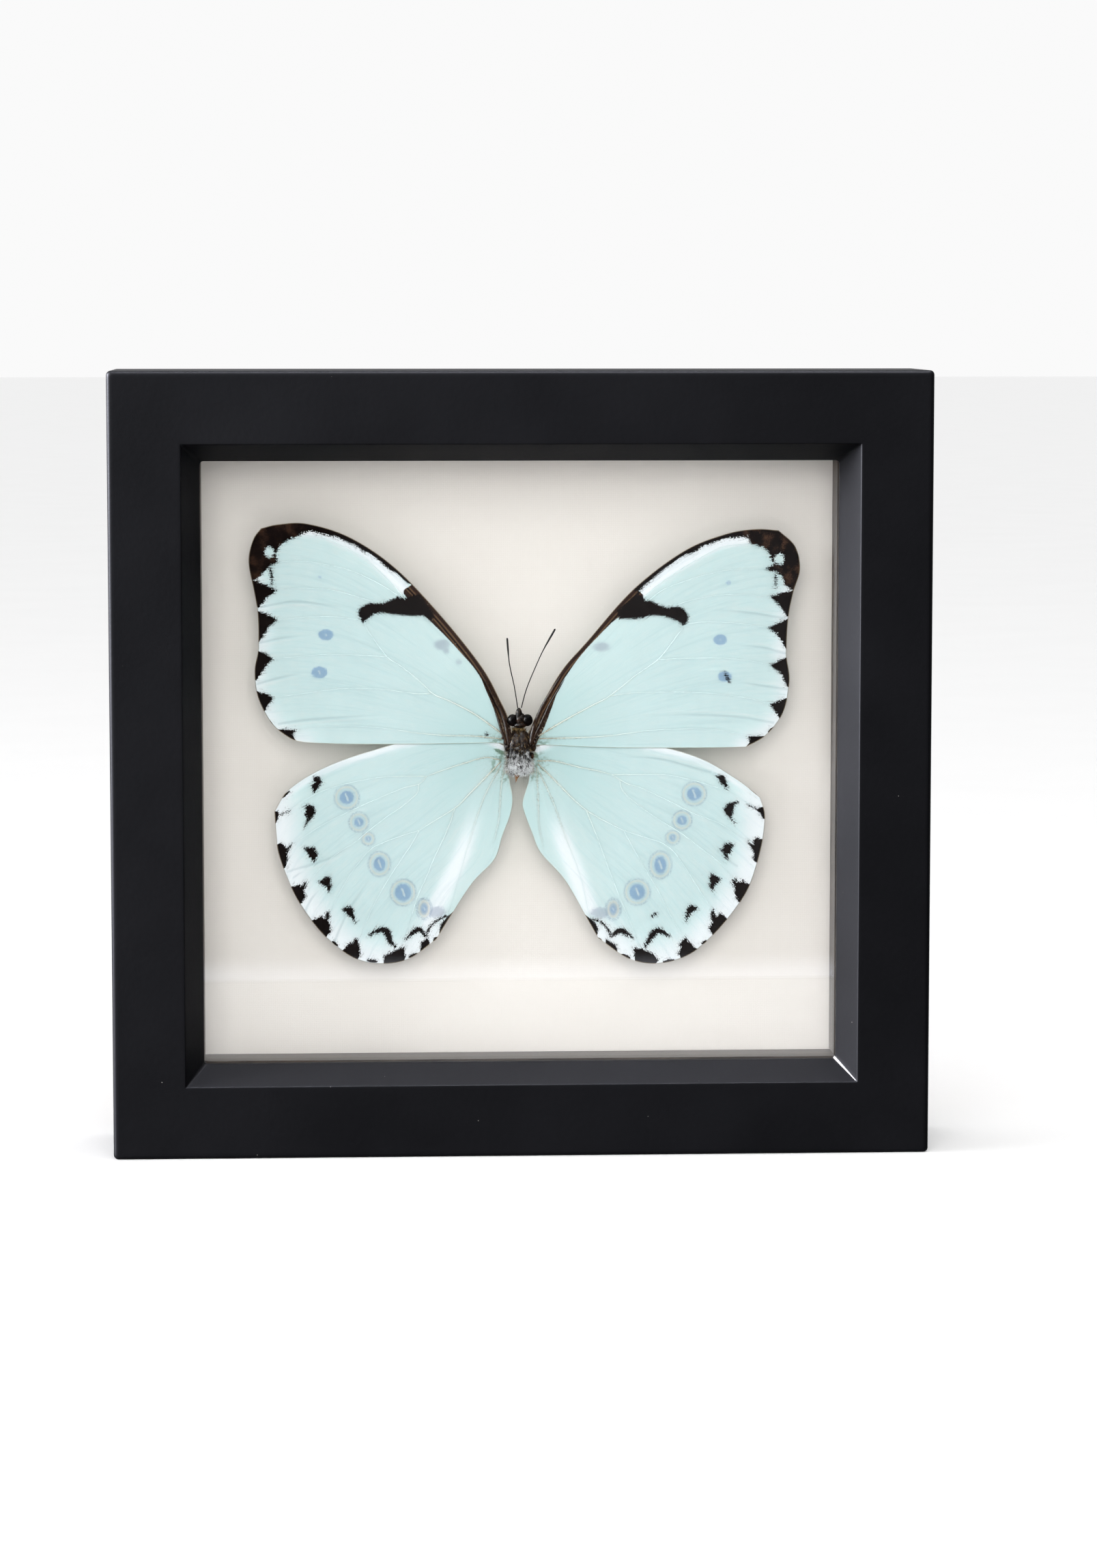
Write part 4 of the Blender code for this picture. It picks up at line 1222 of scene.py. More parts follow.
HINDWING_RIGHT = WingDesign(
    node="hindwing_right",
    leading=trace(20, -12, 42, 3, 90, 22, 200, 24, 314, 3, 412, -27, 492, -74, 544, -115),
    margin=trace(544, -115, 555, -160, 546, -232, 518, -322, 466, -398, 396, -465, 324, -491, 251, -482,
        178, -433),
    inner=trace(178, -433, 146, -376, 101, -298, 48, -238, 28, -192, 9, -140, 8, -118, 20, -78, 23, -54,
        20, -42),
    patches=traces(
        (444, -65, 461, -65, 467, -79, 469, -95, 454, -81),
        (462, -144, 467, -134, 475, -127, 493, -125, 485, -132, 483, -143, 482, -153, 479, -159, 486, -173,
         475, -160, 469, -154),
        (540, -140, 548, -138, 564, -137, 562, -164, 552, -163, 546, -155, 542, -148),
        (529, -215, 534, -209, 554, -212, 553, -246, 544, -266, 538, -263, 532, -259, 529, -250, 530, -239,
         525, -232, 517, -214, 528, -224),
        (454, -233, 460, -232, 464, -221, 476, -220, 485, -223, 480, -230, 479, -240, 471, -244, 471, -256,
         465, -251, 461, -241),
        (483, -302, 490, -299, 493, -309, 499, -308, 506, -304, 510, -310, 529, -316, 522, -336, 506, -355,
         497, -352, 491, -346, 488, -335, 489, -322, 484, -315),
        (433, -288, 440, -291, 447, -296, 456, -299, 448, -309, 442, -315, 437, -326, 432, -320, 431, -304),
        (433, -382, 438, -369, 443, -383, 448, -386, 454, -380, 461, -384, 476, -398, 469, -416, 452, -432,
         441, -430, 433, -419, 431, -410, 438, -399, 435, -391),
        (384, -360, 390, -362, 403, -366, 392, -375, 383, -383, 378, -396, 376, -384, 380, -370),
        (362, -449, 369, -442, 377, -432, 381, -441, 390, -447, 395, -456, 406, -462, 394, -483, 374, -490,
         365, -477, 361, -466, 367, -457),
        (259, -456, 279, -459, 303, -470, 314, -485, 295, -504, 264, -498),
        (196, -436, 218, -449, 221, -463, 212, -474, 196, -453),
        (144, -377, 164, -392, 178, -408, 173, -436, 150, -416)),
    strokes=(Stroke(trace(283, -454, 299, -429, 315, -417, 339, -429), 0.68, 0.12),
        Stroke(trace(205, -431, 230, -416, 256, -433), 0.55, 0.12),
        Stroke(trace(160, -390, 182, -394, 200, -414, 206, -430), 0.18, 0.12),
        Stroke(trace(232, -471, 250, -479), 0.3), Stroke(trace(180, -434, 185, -441), 0.28),
        Stroke(trace(326, -489, 350, -484), 0.26), Stroke(trace(414, -447, 423, -441), 0.2),
        Stroke(trace(300, -384, 305, -379, 310, -378), 0.16), Stroke(trace(516, -130, 540, -144), 0.12, 0.05),
        Stroke(trace(519, -92, 536, -107), 0.14)),
    spots=(EyeSpot((39.4, -10.6), (1.8, 1.7), (2.4, 2.3), (2.75, 2.7), 0.8),
        EyeSpot((36.7, -16.6), (1.3, 1.2), (1.8, 1.8), (2.2, 2.2), 0.5),
        EyeSpot((34.6, -20.5), (0.8, 0.9), (1.2, 1.2), (1.6, 1.6), 0.3),
        EyeSpot((31.8, -26.7), (1.5, 2.2), (2.1, 2.6), (2.6, 3.1), 0.9),
        EyeSpot((26.6, -32.8), (1.9, 2.0), (2.5, 2.5), (2.9, 3.0), 0.8),
        EyeSpot((21.2, -36.7), (0.7, 1.1), (1.1, 1.7), (1.7, 2.4), 0.3)),
    smudges=(EyeSpot((18.4, -37.5), (2.4, 1.3)), EyeSpot((21.2, -36.7), (1.4, 1.9))),
    window=trace(26, -11, 36, -8, 44, -17, 43, -25, 30, -23),
    streak=trace(60, -87, 89, -188, 129, -290, 157, -363),
    veins=(Vein(trace(40, -30, 81, -31, 137, -45, 177, -53, 209, -62), 0.14, 0.1),
        Vein(trace(209, -62, 258, -62, 322, -62, 370, -70, 423, -85, 468, -101, 532, -138)),
        Vein(trace(209, -62, 242, -82, 274, -92, 318, -113, 355, -131, 391, -150, 452, -174, 516, -215)),
        Vein(trace(226, -76, 234, -100, 266, -129, 310, -161, 363, -194, 412, -231, 452, -263, 489, -304)),
        Vein(trace(42, -37, 81, -75, 117, -112, 151, -142, 193, -167, 236, -189), 0.17, 0.12),
        Vein(trace(236, -189, 278, -203, 323, -218, 351, -240, 375, -275, 404, -320, 428, -357, 438, -373)),
        Vein(trace(236, -191, 262, -238, 290, -287, 319, -336, 343, -385, 372, -434)),
        Vein(trace(151, -142, 173, -197, 198, -266, 226, -339, 250, -396, 271, -449)),
        Vein(trace(40, -47, 73, -115, 105, -205, 137, -290, 158, -383), 0.09, 0.05),
        Vein(trace(38, -43, 42, -107, 44, -172, 54, -229), 0.09, 0.05)),
    folds=traces(
        (220, -16, 320, -24, 430, -54),
        (460, -246, 494, -268)),
    margin_reach=8.5,
    margin_pale=1.0,
)


@dataclass
class Wing:
    """One wing: a thin closed shell with raised veins, soft pleats and its marks kept at its vertices."""

    design: WingDesign
    rows: int = 215                     # from the root out to the margin
    columns: int = 215                  # from the inner edge to the leading edge
    thickness: float = 0.16
    arch: float = 0.5                   # how far the middle of the wing stands forward
    bleed: float = 0.13                 # how far the dark scales spread past a mark's outline
    sag: float = 0.12                   # how far the wing sinks between its veins
    pleat: float = 0.05                 # the height of a pleat
    waves: tuple = ((0.24, 26.0, 5), (0.05, 6.0, 8))    # height, length and seed of each gentle wave
    droop: float = 0.42                 # how far a forewing's inner edge falls back to the hindwing
    lift: float = 0.3                   # how far a hindwing's leading edge rises to the forewing
    vein_steps: int = 80
    vein_smoothing: int = 9             # how many steps a vein's depth is averaged over
    vein_scale: float = 0.8             # of the designed radii
    vein_taper: int = 6                 # how many steps a vein's tip takes to narrow

    def grid(self) -> np.ndarray:
        """Fill the outline with a grid.

        The grid blends the four edges: each inner point is the blend of the root and margin lines, plus that
        of the inner and leading edges, less the blend of the four corners.

        Returns:
            The points by row, from the root outwards, and column, from the inner edge up; in mm.
        """
        s, t = np.linspace(0, 1, self.rows), np.linspace(0, 1, self.columns)
        upper = spaced(smooth_curve(self.design.leading), s)[:, None]
        lower = spaced(smooth_curve(self.design.inner)[::-1], s)[:, None]
        outer = spaced(smooth_curve(self.design.margin)[::-1], t)[None]
        root = (lower[0] + (upper[0] - lower[0]) * t[:, None])[None]
        s, t = s[:, None, None], t[None, :, None]
        corners = ((1 - s) * ((1 - t) * lower[0] + t * upper[0]) + s * ((1 - t) * lower[-1] + t * upper[-1]))
        return (1 - t) * lower + t * upper + (1 - s) * root + s * outer - corners

    def marks(self, flat: np.ndarray) -> dict[str, np.ndarray]:
        """Work out every mark's field over the wing.

        Args:
            flat: The wing's points, one a row.

        Returns:
            Fields by name: distances in mm, positive inside a mark, or shares from 0 to 1.
        """
        d = self.design
        outline = np.vstack([smooth_curve(line)[:-1] for line in (d.leading, d.margin, d.inner)])
        edge, _ = line_distance(flat, np.vstack([outline, outline[:1]]))
        dark = np.full(len(flat), OUTSIDE)
        for patch in d.patches:
            dark = np.maximum(dark, self.near(flat, np.array(patch)))
        for stroke in d.strokes:
            away, share = line_distance(flat, smooth_curve(stroke.line))
            width = stroke.tip + (stroke.half_width - stroke.tip) * np.sin(math.pi * share)
            dark = np.maximum(dark, width - away)
        dark += self.bleed
        dark = np.minimum(dark, -self.ovals(flat, d.holes, "blue"))
        away, _ = line_distance(flat, smooth_curve(d.margin))
        pale = d.margin_pale * (1 - fade(away, 0.0, d.margin_reach))
        fur = np.zeros(len(flat))
        if d.strip:
            pale = np.maximum(pale, 1.1 * fade(inside_distance(flat, np.array(d.strip)), -0.8, 0.4))
        if d.streak:
            away, share = line_distance(flat, smooth_curve(d.streak))
            pale = np.maximum(pale, 0.9 * fade(share, 0.1, 0.5) * (1 - fade(away, 0.5, 3.2)))
            fur = 1 - fade(away, 2.0, 7.0)
            leading, _ = line_distance(flat, smooth_curve(d.leading))
            pale = np.maximum(pale, 0.85 * (1 - fade(leading, 0.6, 2.4)))
        vein = np.min([line_distance(flat, smooth_curve(vein.line, 5))[0] for vein in d.veins], axis=0)
        apex = inside_distance(flat, np.array(d.patches[0]))
        root = np.linalg.norm(flat - np.array((math.copysign(3.0, d.margin[0][0]), flat[0, 1])), axis=1)
        return {
            "dark": dark, "edge": edge, "pale": pale, "fur": fur, "vein": vein, "root": root,
            "pleat_shading": self.creases(flat), "ragged": fade(edge, 0.15, 1.0),
            "rust": d.rust * fade(apex, -1.5, 0.5),
            "bundle": inside_distance(flat, smooth_curve(d.bundle + d.bundle[:1], 4)[:-1]) if d.bundle
            else np.full(len(flat), OUTSIDE),
            "window": inside_distance(flat, np.array(d.window)) if d.window else np.full(len(flat), OUTSIDE),
            "blue": self.ovals(flat, d.spots, "blue"), "ring": self.ovals(flat, d.spots, "ring"),
            "halo": self.ovals(flat, d.spots, "halo"), "grey": self.ovals(flat, d.smudges, "blue"),
            "pupil": self.pupils(flat),
        }

    @staticmethod
    def near(flat: np.ndarray, outline: np.ndarray) -> np.ndarray:
        """Measure only the points near an outline, and call the others far outside."""
        low, high = outline.min(0) - 3, outline.max(0) + 3
        chosen = ((flat > low) & (flat < high)).all(axis=1)
        result = np.full(len(flat), OUTSIDE)
        result[chosen] = inside_distance(flat[chosen], outline)
        return result

    @staticmethod
    def ovals(flat: np.ndarray, spots: tuple[EyeSpot, ...], part: str) -> np.ndarray:
        """Measure points against one oval of each spot: 1 less their share of its radius, times its width."""
        result = np.full(len(flat), OUTSIDE)
        for spot in spots:
            half = np.array(getattr(spot, part))
            if half.all():
                share = np.linalg.norm((flat - np.array(spot.centre)) / half, axis=1)
                result = np.maximum(result, (1 - share) * half.min())
        return result

    def pupils(self, flat: np.ndarray) -> np.ndarray:
        """Measure points against the short slanted slash inside each spot."""
        result = np.full(len(flat), OUTSIDE)
        for spot in self.design.spots:
            if spot.pupil:
                x, z = spot.centre
                slash = np.array([(x - 0.35 * spot.pupil, z + spot.pupil), (x + 0.1, z),
                                  (x + 0.35 * spot.pupil, z - 0.9 * spot.pupil)])
                away, _ = line_distance(flat, slash)
                result = np.maximum(result, 0.14 + 0.12 * spot.pupil - away)
        return result

    def creases(self, flat: np.ndarray) -> np.ndarray:
        """Return the light on the pleats: up to 1 on one side, down to -1 on the other, 0 elsewhere."""
        result = np.zeros(len(flat))
        for fold in self.design.folds:
            line = smooth_curve(fold)
            along = line[-1] - line[0]
            across = np.array((-along[1], along[0])) / np.linalg.norm(along) * 0.32
            (light, share), (shade, _) = (line_distance(flat, line + side * across) for side in (1, -1))
            sides = np.exp(-(light / 0.3) ** 2) - np.exp(-(shade / 0.34) ** 2)
            result += (0.3 + 0.7 * fade(share, 0.0, 0.6)) * sides
        return result

    def relief(self, flat: np.ndarray, marks: dict[str, np.ndarray], s: np.ndarray,
               t: np.ndarray) -> np.ndarray:
        """Work out how far each point stands forward.

        The wing arches between root and margin, sags a little between its veins, steps at its pleats and
        waves gently, more towards the margin. A forewing droops to the hindwing at its inner edge, and a
        hindwing rises to the forewing at its leading edge.

        Args:
            flat: The wing's points, one a row.
            marks: Its fields.
            s: Each point's share of the way from the root to the margin.
            t: Each point's share of the way from the inner edge to the leading edge.

        Returns:
            Heights in mm.
        """
        sag = -self.sag * fade(marks["vein"], 0.0, 2.6) * fade(s, 0.0, 0.3)
        waves = sum(height * ripple(flat, length, seed) * s for height, length, seed in self.waves)
        arch = self.arch * np.sin(math.pi * s) * fade(s, 0.0, 0.3)
        meet = -self.droop * (1 - t) ** 2 if self.design.bundle else self.lift * fade(t, 0.75, 1.0)
        return arch + sag + self.pleat * marks["pleat_shading"] + waves + meet

    def build(self, material: bpy.types.Material) -> None:
        """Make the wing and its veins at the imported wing's place.

        The back face is the front face set back by the wing's thickness, which goes to nothing at the edge,
        where the two faces share their vertices.
        """
        grid = self.grid()
        rows, columns = grid.shape[:2]
        flat = grid.reshape(-1, 2)
        s, t = (share.ravel() for share in np.meshgrid(np.linspace(0, 1, rows), np.linspace(0, 1, columns),
                                                      indexing="ij"))
        marks = self.marks(flat)
        low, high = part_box(self.design.node)
        outline_top = max(smooth_curve(self.design.leading, 5)[:, 1])
        middle = (low.y + high.y) / 2 / MM
        front = middle - self.relief(flat, marks, s, t)
        back = front + self.thickness * fade(marks["edge"], 0.0, 0.5)
        inner = np.zeros((rows, columns), bool)
        inner[1:-1, 1:-1] = True
        inner = inner.ravel()
        index = np.arange(rows * columns)
        behind = index.copy()
        behind[inner] = index.size + np.arange(inner.sum())
        x = np.concatenate([flat[:, 0], flat[inner, 0]])
        lift = high.z / MM - outline_top
        z = np.concatenate([flat[:, 1], flat[inner, 1]]) + lift
        points = np.stack([x, np.concatenate([front, back[inner]]), z], axis=1) * MM
        faces = grid_faces(index.reshape(rows, columns)), grid_faces(behind.reshape(rows, columns))[:, ::-1]
        if self.design.margin[0][0] < 0:
            faces = tuple(f[:, ::-1] for f in faces)
        marks = {key: np.concatenate([values, values[inner]]) for key, values in marks.items()}
        piece = make_piece(self.design.node + "_scales", points, list(faces), material, marks,
                           (self.design.node,))
        chart = np.stack([s, t], axis=1)
        chart = np.concatenate([chart, chart[inner]])
        corners = np.concatenate([f.ravel() for f in faces])
        piece.data.uv_layers.new(name="scale_rows").data.foreach_set("uv", chart[corners].ravel())
        self.build_veins(flat, front, lift)

    def build_veins(self, flat: np.ndarray, front: np.ndarray, lift: float) -> None:
        """Lay a thin tube along every vein, half sunk in the wing's front face.

        Args:
            flat: The wing's points, one a row.
            front: How far back the front face is at each.
            lift: The height of the thorax's middle.
        """
        parts = []
        for vein in self.design.veins:
            line, wide = evenly(vein.line, self.vein_steps), self.vein_smoothing
            nearest = np.argmin(((line[:, None] - flat[None, ::3]) ** 2).sum(axis=-1), axis=1) * 3
            depth = np.convolve(np.pad(front[nearest], wide // 2, mode="edge"), np.full(wide, 1 / wide),
                                mode="valid")
            path = np.stack([line[:, 0], depth, line[:, 1] + lift], axis=1)
            radii = np.linspace(vein.root, vein.tip, len(line))
            radii = radii * (self.vein_scale + 0.12 * ripple(line, 2.0, 11))
            radii[-self.vein_taper:] *= np.linspace(1, 0.3, self.vein_taper)
            parts.append(tube(path, radii, 7))
        points, faces = joined(parts)
        root = np.hypot(np.abs(points[:, 0]) - 3, points[:, 2] - lift)
        make_piece(self.design.node + "_veins", points * MM, faces, WingVein().material(),
                   {"root": root})


# The body

@dataclass
class Coat:
    """Fine tapered hairs of one kind."""

    name: str
    finish: Hair
    radius: float = 0.035
    bend: float = 0.35

    def grow(self, roots: np.ndarray, leans: np.ndarray, lengths: np.ndarray, seed: int,
             tones: np.ndarray | None = None) -> bpy.types.Object:
        """Grow one hair from each root.

        A hair is a bent three-sided spike: its middle follows root + lean * length * u, plus a sideways bend
        that goes with u squared, and its radius shrinks with u.

        Args:
            roots: Where the hairs start, in mm.
            leans: Which way they point.
            lengths: Their lengths in mm.
            seed: Which bends and tones they get.
            tones: Their tones from 0 to 1, in place of random ones.

        Returns:
            The coat of hair.
        """
        random = np.random.default_rng(seed)
        leans = leans / np.linalg.norm(leans, axis=1)[:, None]
        side = np.cross(leans, random.normal(size=roots.shape))
        side /= np.linalg.norm(side, axis=1)[:, None]
        other = np.cross(leans, side)
        u = np.array((0.0, 0.45, 0.8, 1.0))[None, :, None]
        curve = leans[:, None] * u + side[:, None] * self.bend * u ** 2
        middle = roots[:, None] + curve * lengths[:, None, None]
        angle = np.arange(3) * 2 * math.pi / 3
        spokes = side[:, None] * np.cos(angle)[:, None] + other[:, None] * np.sin(angle)[:, None]
        rings = middle[:, :3, None] + spokes[:, None] * (self.radius * (1 - u[:, :3] ** 2))[..., None]
        points = np.concatenate([rings.reshape(len(roots), 9, 3), middle[:, 3:]], axis=1)
        start = (np.arange(len(roots)) * 10)[:, None, None]
        sides = np.array([[r + k, r + (k + 1) % 3, r + 3 + (k + 1) % 3, r + 3 + k]
                          for r in (0, 3) for k in range(3)])
        ends = np.array([[6, 7, 9], [7, 8, 9], [8, 6, 9], [2, 1, 0]])
        tone = np.repeat(random.random(len(roots)) if tones is None else tones, 10)
        return make_piece(self.name, points.reshape(-1, 3) * MM,
                          [(start + sides).reshape(-1, 4), (start + ends).reshape(-1, 3)],
                          self.finish.material(), {"tone": tone})


@dataclass
class Body:
    """Thorax, head, antennae, broken abdomen and the hair on them."""

    half_height: float = 5.3            # of the thorax
    below_top: float = 5.1              # how far the thorax's middle is below its top
    wings_below_top: float = 4.5        # the same for the height that the designs are measured from
    antenna_radius: float = 0.135
    club_scale: float = 1.75
    eye_radius: float = 1.3
    left_antenna: tuple = ((-0.4, 14.8, 9.1), (-1.2, 14.5, 14.0), (-2.3, 14.2, 19.2), (-2.8, 14.2, 24.9))
    right_antenna: tuple = ((0.4, 14.8, 9.1), (1.5, 14.5, 13.2), (3.2, 14.2, 17.5), (5.3, 14.2, 22.1),
                            (8.0, 14.2, 26.9))
    bare: float = 0.004                 # in metres: how far below the thorax fur starts where there is none
    ridge_steps: int = 70
    ridge_taper: int = 12               # how many steps a ridge's upper end takes to narrow
    ridges: tuple = (                   # a line, and the radius at its lower and upper end
        (trace(-23, 8, -26, 24, -29, 40, -33, 60, -40, 80, -50, 102, -86, 172), 0.5, 0.3),
        (trace(-30, 10, -34, 24, -41, 42, -46, 60, -53, 82, -61, 104, -87, 162), 0.34, 0.16),
        (trace(25, 10, 27, 24, 30, 40, 36, 60, 45, 80, 56, 102, 94, 164), 0.5, 0.3),
        (trace(29, 14, 33, 26, 41, 41, 50, 60, 60, 81, 70, 103, 102, 156), 0.34, 0.16))

    def __post_init__(self) -> None:
        """Find the thorax in the frame."""
        self.low, self.high = (np.array(corner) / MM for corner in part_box("thorax"))
        self.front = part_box("rail_left")[0].y / MM
        self.half = np.append((self.high - self.low)[:2] / 2, self.half_height)
        self.centre = np.array([0.0, (self.high[1] + self.low[1]) / 2, self.high[2] - self.below_top])
        self.level = self.high[2] - self.wings_below_top

    def thorax_surface(self, directions: np.ndarray) -> np.ndarray:
        """Place directions on the thorax.

        It is an ellipsoid with a groove down its middle, swollen shoulders, lumps and a squarer rear.
        """
        x, y, z = directions.T
        groove = -0.07 * np.exp(-(x / 0.16) ** 2) * fade(-y, 0.0, 0.6) * fade(z, -0.2, 0.3)
        shoulders = 0.10 * np.exp(-((np.abs(x) - 0.6) / 0.25) ** 2) * np.exp(-((z - 0.25) / 0.35) ** 2)
        lumps = 0.05 * ripple(directions, 0.9, 3) + 0.03 * ripple(directions, 0.35, 4)
        points = directions * self.half * (1 + groove + shoulders + lumps)[:, None]
        points[:, :2] *= (1 + 0.8 * fade(-z, 0.3, 0.97))[:, None]
        return self.centre + points

    def build_thorax(self) -> None:
        """Make the thorax."""
        directions, faces = ball(60, 84)
        make_piece("thorax_shell", self.thorax_surface(directions) * MM, faces,
                   Chitin(self.centre[2] * MM).material(), stands_for=("thorax",))

    def build_head(self) -> None:
        """Make the head with its palps, and the two eyes."""
        low, high = (np.array(corner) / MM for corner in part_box("head"))
        middle = np.array([0.1, (low[1] + high[1]) / 2 + 0.2, self.level + 6.4])
        directions, faces = ball(28, 36)
        skull = middle + directions * (1.5, 1.6, 1.6) * (1 + 0.05 * ripple(directions, 0.6, 6))[:, None]
        palps = middle + (-0.25, -0.5, 1.2) + directions * (0.75, 0.8, 1.5) * (
            1 + 0.12 * ripple(directions, 0.5, 7))[:, None]
        brow = middle + (0.0, -0.6, -1.1) + directions * (1.5, 1.1, 0.7) * (
            1 + 0.1 * ripple(directions, 0.5, 9))[:, None]
        points, groups = joined([(skull, faces), (palps, faces), (brow, faces)])
        finish = Chitin(self.low[2] * MM - self.bare, srgb(13, 7, 5), srgb(110, 80, 44))
        make_piece("head_shell", points * MM, groups, finish.material(), stands_for=("head",))
        eye = directions * self.eye_radius * (0.95, 1.0, 1.05)
        points, groups = joined([(middle + (side * 1.65, -0.4, -0.05) + eye, faces) for side in (-1, 1)])
        make_piece("eyes", points * MM, groups, EyeGloss().material())

    def build_antennae(self) -> None:
        """Make the two antennae: thin shafts that swell into a slender club before the tip."""
        finish = AntennaChitin().material()
        for name, line in (("antenna_left", self.left_antenna), ("antenna_right", self.right_antenna)):
            path = evenly(line, 90) + (0.0, self.front, self.level)
            u = np.linspace(0, 1, len(path))
            club = fade(u, 0.68, 0.9) * (self.club_scale - 1)
            radii = self.antenna_radius * (0.85 + club) * np.sqrt(np.clip((1 - u) / 0.012, 0.05, 1))
            points, groups = tube(path, radii)
            make_piece(name + "_shaft", points * MM, groups, finish, stands_for=(name,))

    def build_stub(self) -> None:
        """Make the torn stump of the abdomen: a drooping cone of tissue with a ragged rim."""
        low, high = (np.array(corner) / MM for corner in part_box("abdomen_stub"))
        middle = np.array((-0.5, (low[1] + high[1]) / 2 - 0.6, self.level - 5.8))
        directions, faces = ball(34, 44)
        z = directions[:, 2]
        taper = 1 - 0.8 * fade(-z, -0.2, 1.0) * (1 - fade(-z, 0.9, 1.0) * 0.2)
        torn = 1 + 0.24 * ripple(directions, 0.6, 21) + 0.14 * ripple(directions, 0.3, 22)
        points = directions * (0.75, 0.9, 1.8) * torn[:, None]
        points[:, :2] *= taper[:, None]
        points = middle + points - np.outer(fade(-z, 0.0, 1.0), (0.3, 0.0, 0.0))
        make_piece("torn_tissue", points * MM, faces, DryTissue().material(),
                   stands_for=("abdomen_stub",))

    def skin_roots(self, count: int, seed: int, low: float, high: float) -> tuple[np.ndarray, np.ndarray]:
        """Pick places on the visible side of the thorax.

        Args:
            count: How many.
            seed: Which.
            low, high: The range of the height share, from -1 at the rear to 1 at the neck.

        Returns:
            The places in mm and the directions outwards there.
        """
        random = np.random.default_rng(seed)
        z = random.uniform(low, high, count)
        angle = random.uniform(math.pi * 0.98, math.pi * 2.02, count)
        ring = np.sqrt(1 - z ** 2)
        directions = np.stack([ring * np.cos(angle), ring * np.sin(angle), z], axis=1)
        return self.thorax_surface(directions), directions

    def build_coats(self) -> None:
        """Grow the golden hair of the thorax, the pale fur of its rear and the tufts at the wing bases."""
        random = np.random.default_rng(40)
        down = np.array((0.0, -0.15, -1.0))
        gold = Hair("golden_hair", srgb(46, 28, 16), srgb(206, 172, 118))
        pale = Hair("pale_fur", srgb(22, 15, 13), srgb(238, 238, 240))
        cream = Hair("cream_hair", srgb(150, 140, 108), srgb(240, 240, 234))
        roots, out = self.skin_roots(330, 31, -0.15, 0.97)
        Coat("thorax_hair", gold, 0.03).grow(roots, out * 0.35 + down + random.normal(size=out.shape) * 0.3,
                                             random.uniform(0.4, 1.2, len(out)), 32,
                                             random.random(len(out)) ** 2.2)
        roots, out = self.skin_roots(3000, 33, -0.995, 0.3)
        level = (roots[:, 2] - self.centre[2]) / self.half[2]
        clumps = (0.92 - 0.4 * fade(level, -0.8, -0.3) - 0.8 * fade(level, -0.4, 0.3)
                  + 1.3 * ripple(roots, 1.5, 61) + 0.2 * random.normal(size=len(out)))
        kept = random.random(len(out)) > 0.9 * fade(level, -0.1, 0.3)
        Coat("rear_fur", pale, 0.065, 0.5).grow(
            roots[kept], (out * 0.6 + down * 0.8 + random.normal(size=out.shape) * 0.45)[kept],
            random.uniform(0.35, 0.95, kept.sum()), 34, np.clip(clumps, 0, 1)[kept])
        self.grow_base_tufts(cream)
        roots, out = self.skin_roots(200, 37, 0.84, 0.99)
        Coat("collar_hair", gold, 0.035).grow(roots, out * 0.8 + np.array((0.0, -0.3, 0.5))
                                              + random.normal(size=out.shape) * 0.3,
                                              random.uniform(0.4, 1.0, len(out)), 38)

    def grow_base_tufts(self, finish: Hair) -> None:
        """Grow the hair that fans out from both sides of the body over the wing bases."""
        random = np.random.default_rng(50)
        count = 420
        side = np.where(random.random(count) < 0.5, -1.0, 1.0)
        height = random.uniform(-5.4, 0.5, count)
        roots = np.stack([side * random.uniform(2.0, 3.0, count),
                          self.centre[1] - random.uniform(1.2, 2.0, count), self.level + height], axis=1)
        drop = np.where(height < -2.5, random.uniform(-2.6, -0.8, count), random.normal(-0.3, 0.5, count))
        leans = np.stack([side, np.full(count, -0.12) + random.normal(0, 0.1, count), drop], axis=1)
        Coat("base_tufts", finish, 0.022, 0.3).grow(roots, leans, random.uniform(0.4, 1.6, count), 51)

    def build_hinges(self) -> None:
        """Make the brown lumps that join the wings to the thorax, as bumpy stretched balls."""
        places = ((2.9, 0.3, 0.65, 0.95), (3.3, 1.5, 0.45, 0.7), (2.7, -1.6, 0.4, 0.8), (3.9, 2.4, 0.3, 0.4))
        directions, faces = ball(16, 22)
        parts = []
        for side in (-1, 1):
            for k, (across, up, wide, tall) in enumerate(places):
                middle = np.array((side * (across + 0.15 * side), self.centre[1] - 1.7, self.level + up))
                swell = 1 + 0.22 * ripple(directions, 0.8, 70 + 2 * k + side)
                parts.append((middle + directions * (wide, 0.7, tall) * swell[:, None], faces))
        points, groups = joined(parts)
        finish = Chitin(self.low[2] * MM - self.bare)
        make_piece("wing_hinges", points * MM, groups, finish.material())

    def build_ridges(self) -> None:
        """Make the thick veins that run from both sides of the thorax up along the leading edges.

        Each is a rod that tapers upwards and comes back from the body's flank to the wing's front face.
        """
        low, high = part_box("forewing_left")
        wing = (low.y + high.y) / 2 / MM - 0.1
        parts = []
        for line, thick, thin in self.ridges:
            path = evenly(line, self.ridge_steps)
            depth = wing + (self.centre[1] - 2.1 - wing) * (1 - fade(path[:, 1], 2.5, 9.0))
            shares = np.linspace(0, 1, self.ridge_steps)
            radii = (thick + (thin - thick) * shares) * (1 + 0.12 * ripple(path, 1.6, 23))
            radii[-self.ridge_taper:] *= np.linspace(1, 0.2, self.ridge_taper)
            parts.append(tube(np.stack([path[:, 0], depth, path[:, 1] + self.level], axis=1), radii, 12))
        points, groups = joined(parts)
        finish = Chitin(self.low[2] * MM - self.bare, srgb(38, 23, 16), srgb(122, 94, 62))
        make_piece("wing_ridges", points * MM, groups, finish.material())

    def build(self) -> None:
        """Make every part of the body."""
        self.build_thorax()
        self.build_head()
        self.build_antennae()
        self.build_stub()
        self.build_hinges()
        self.build_ridges()
        self.build_coats()


# The studio

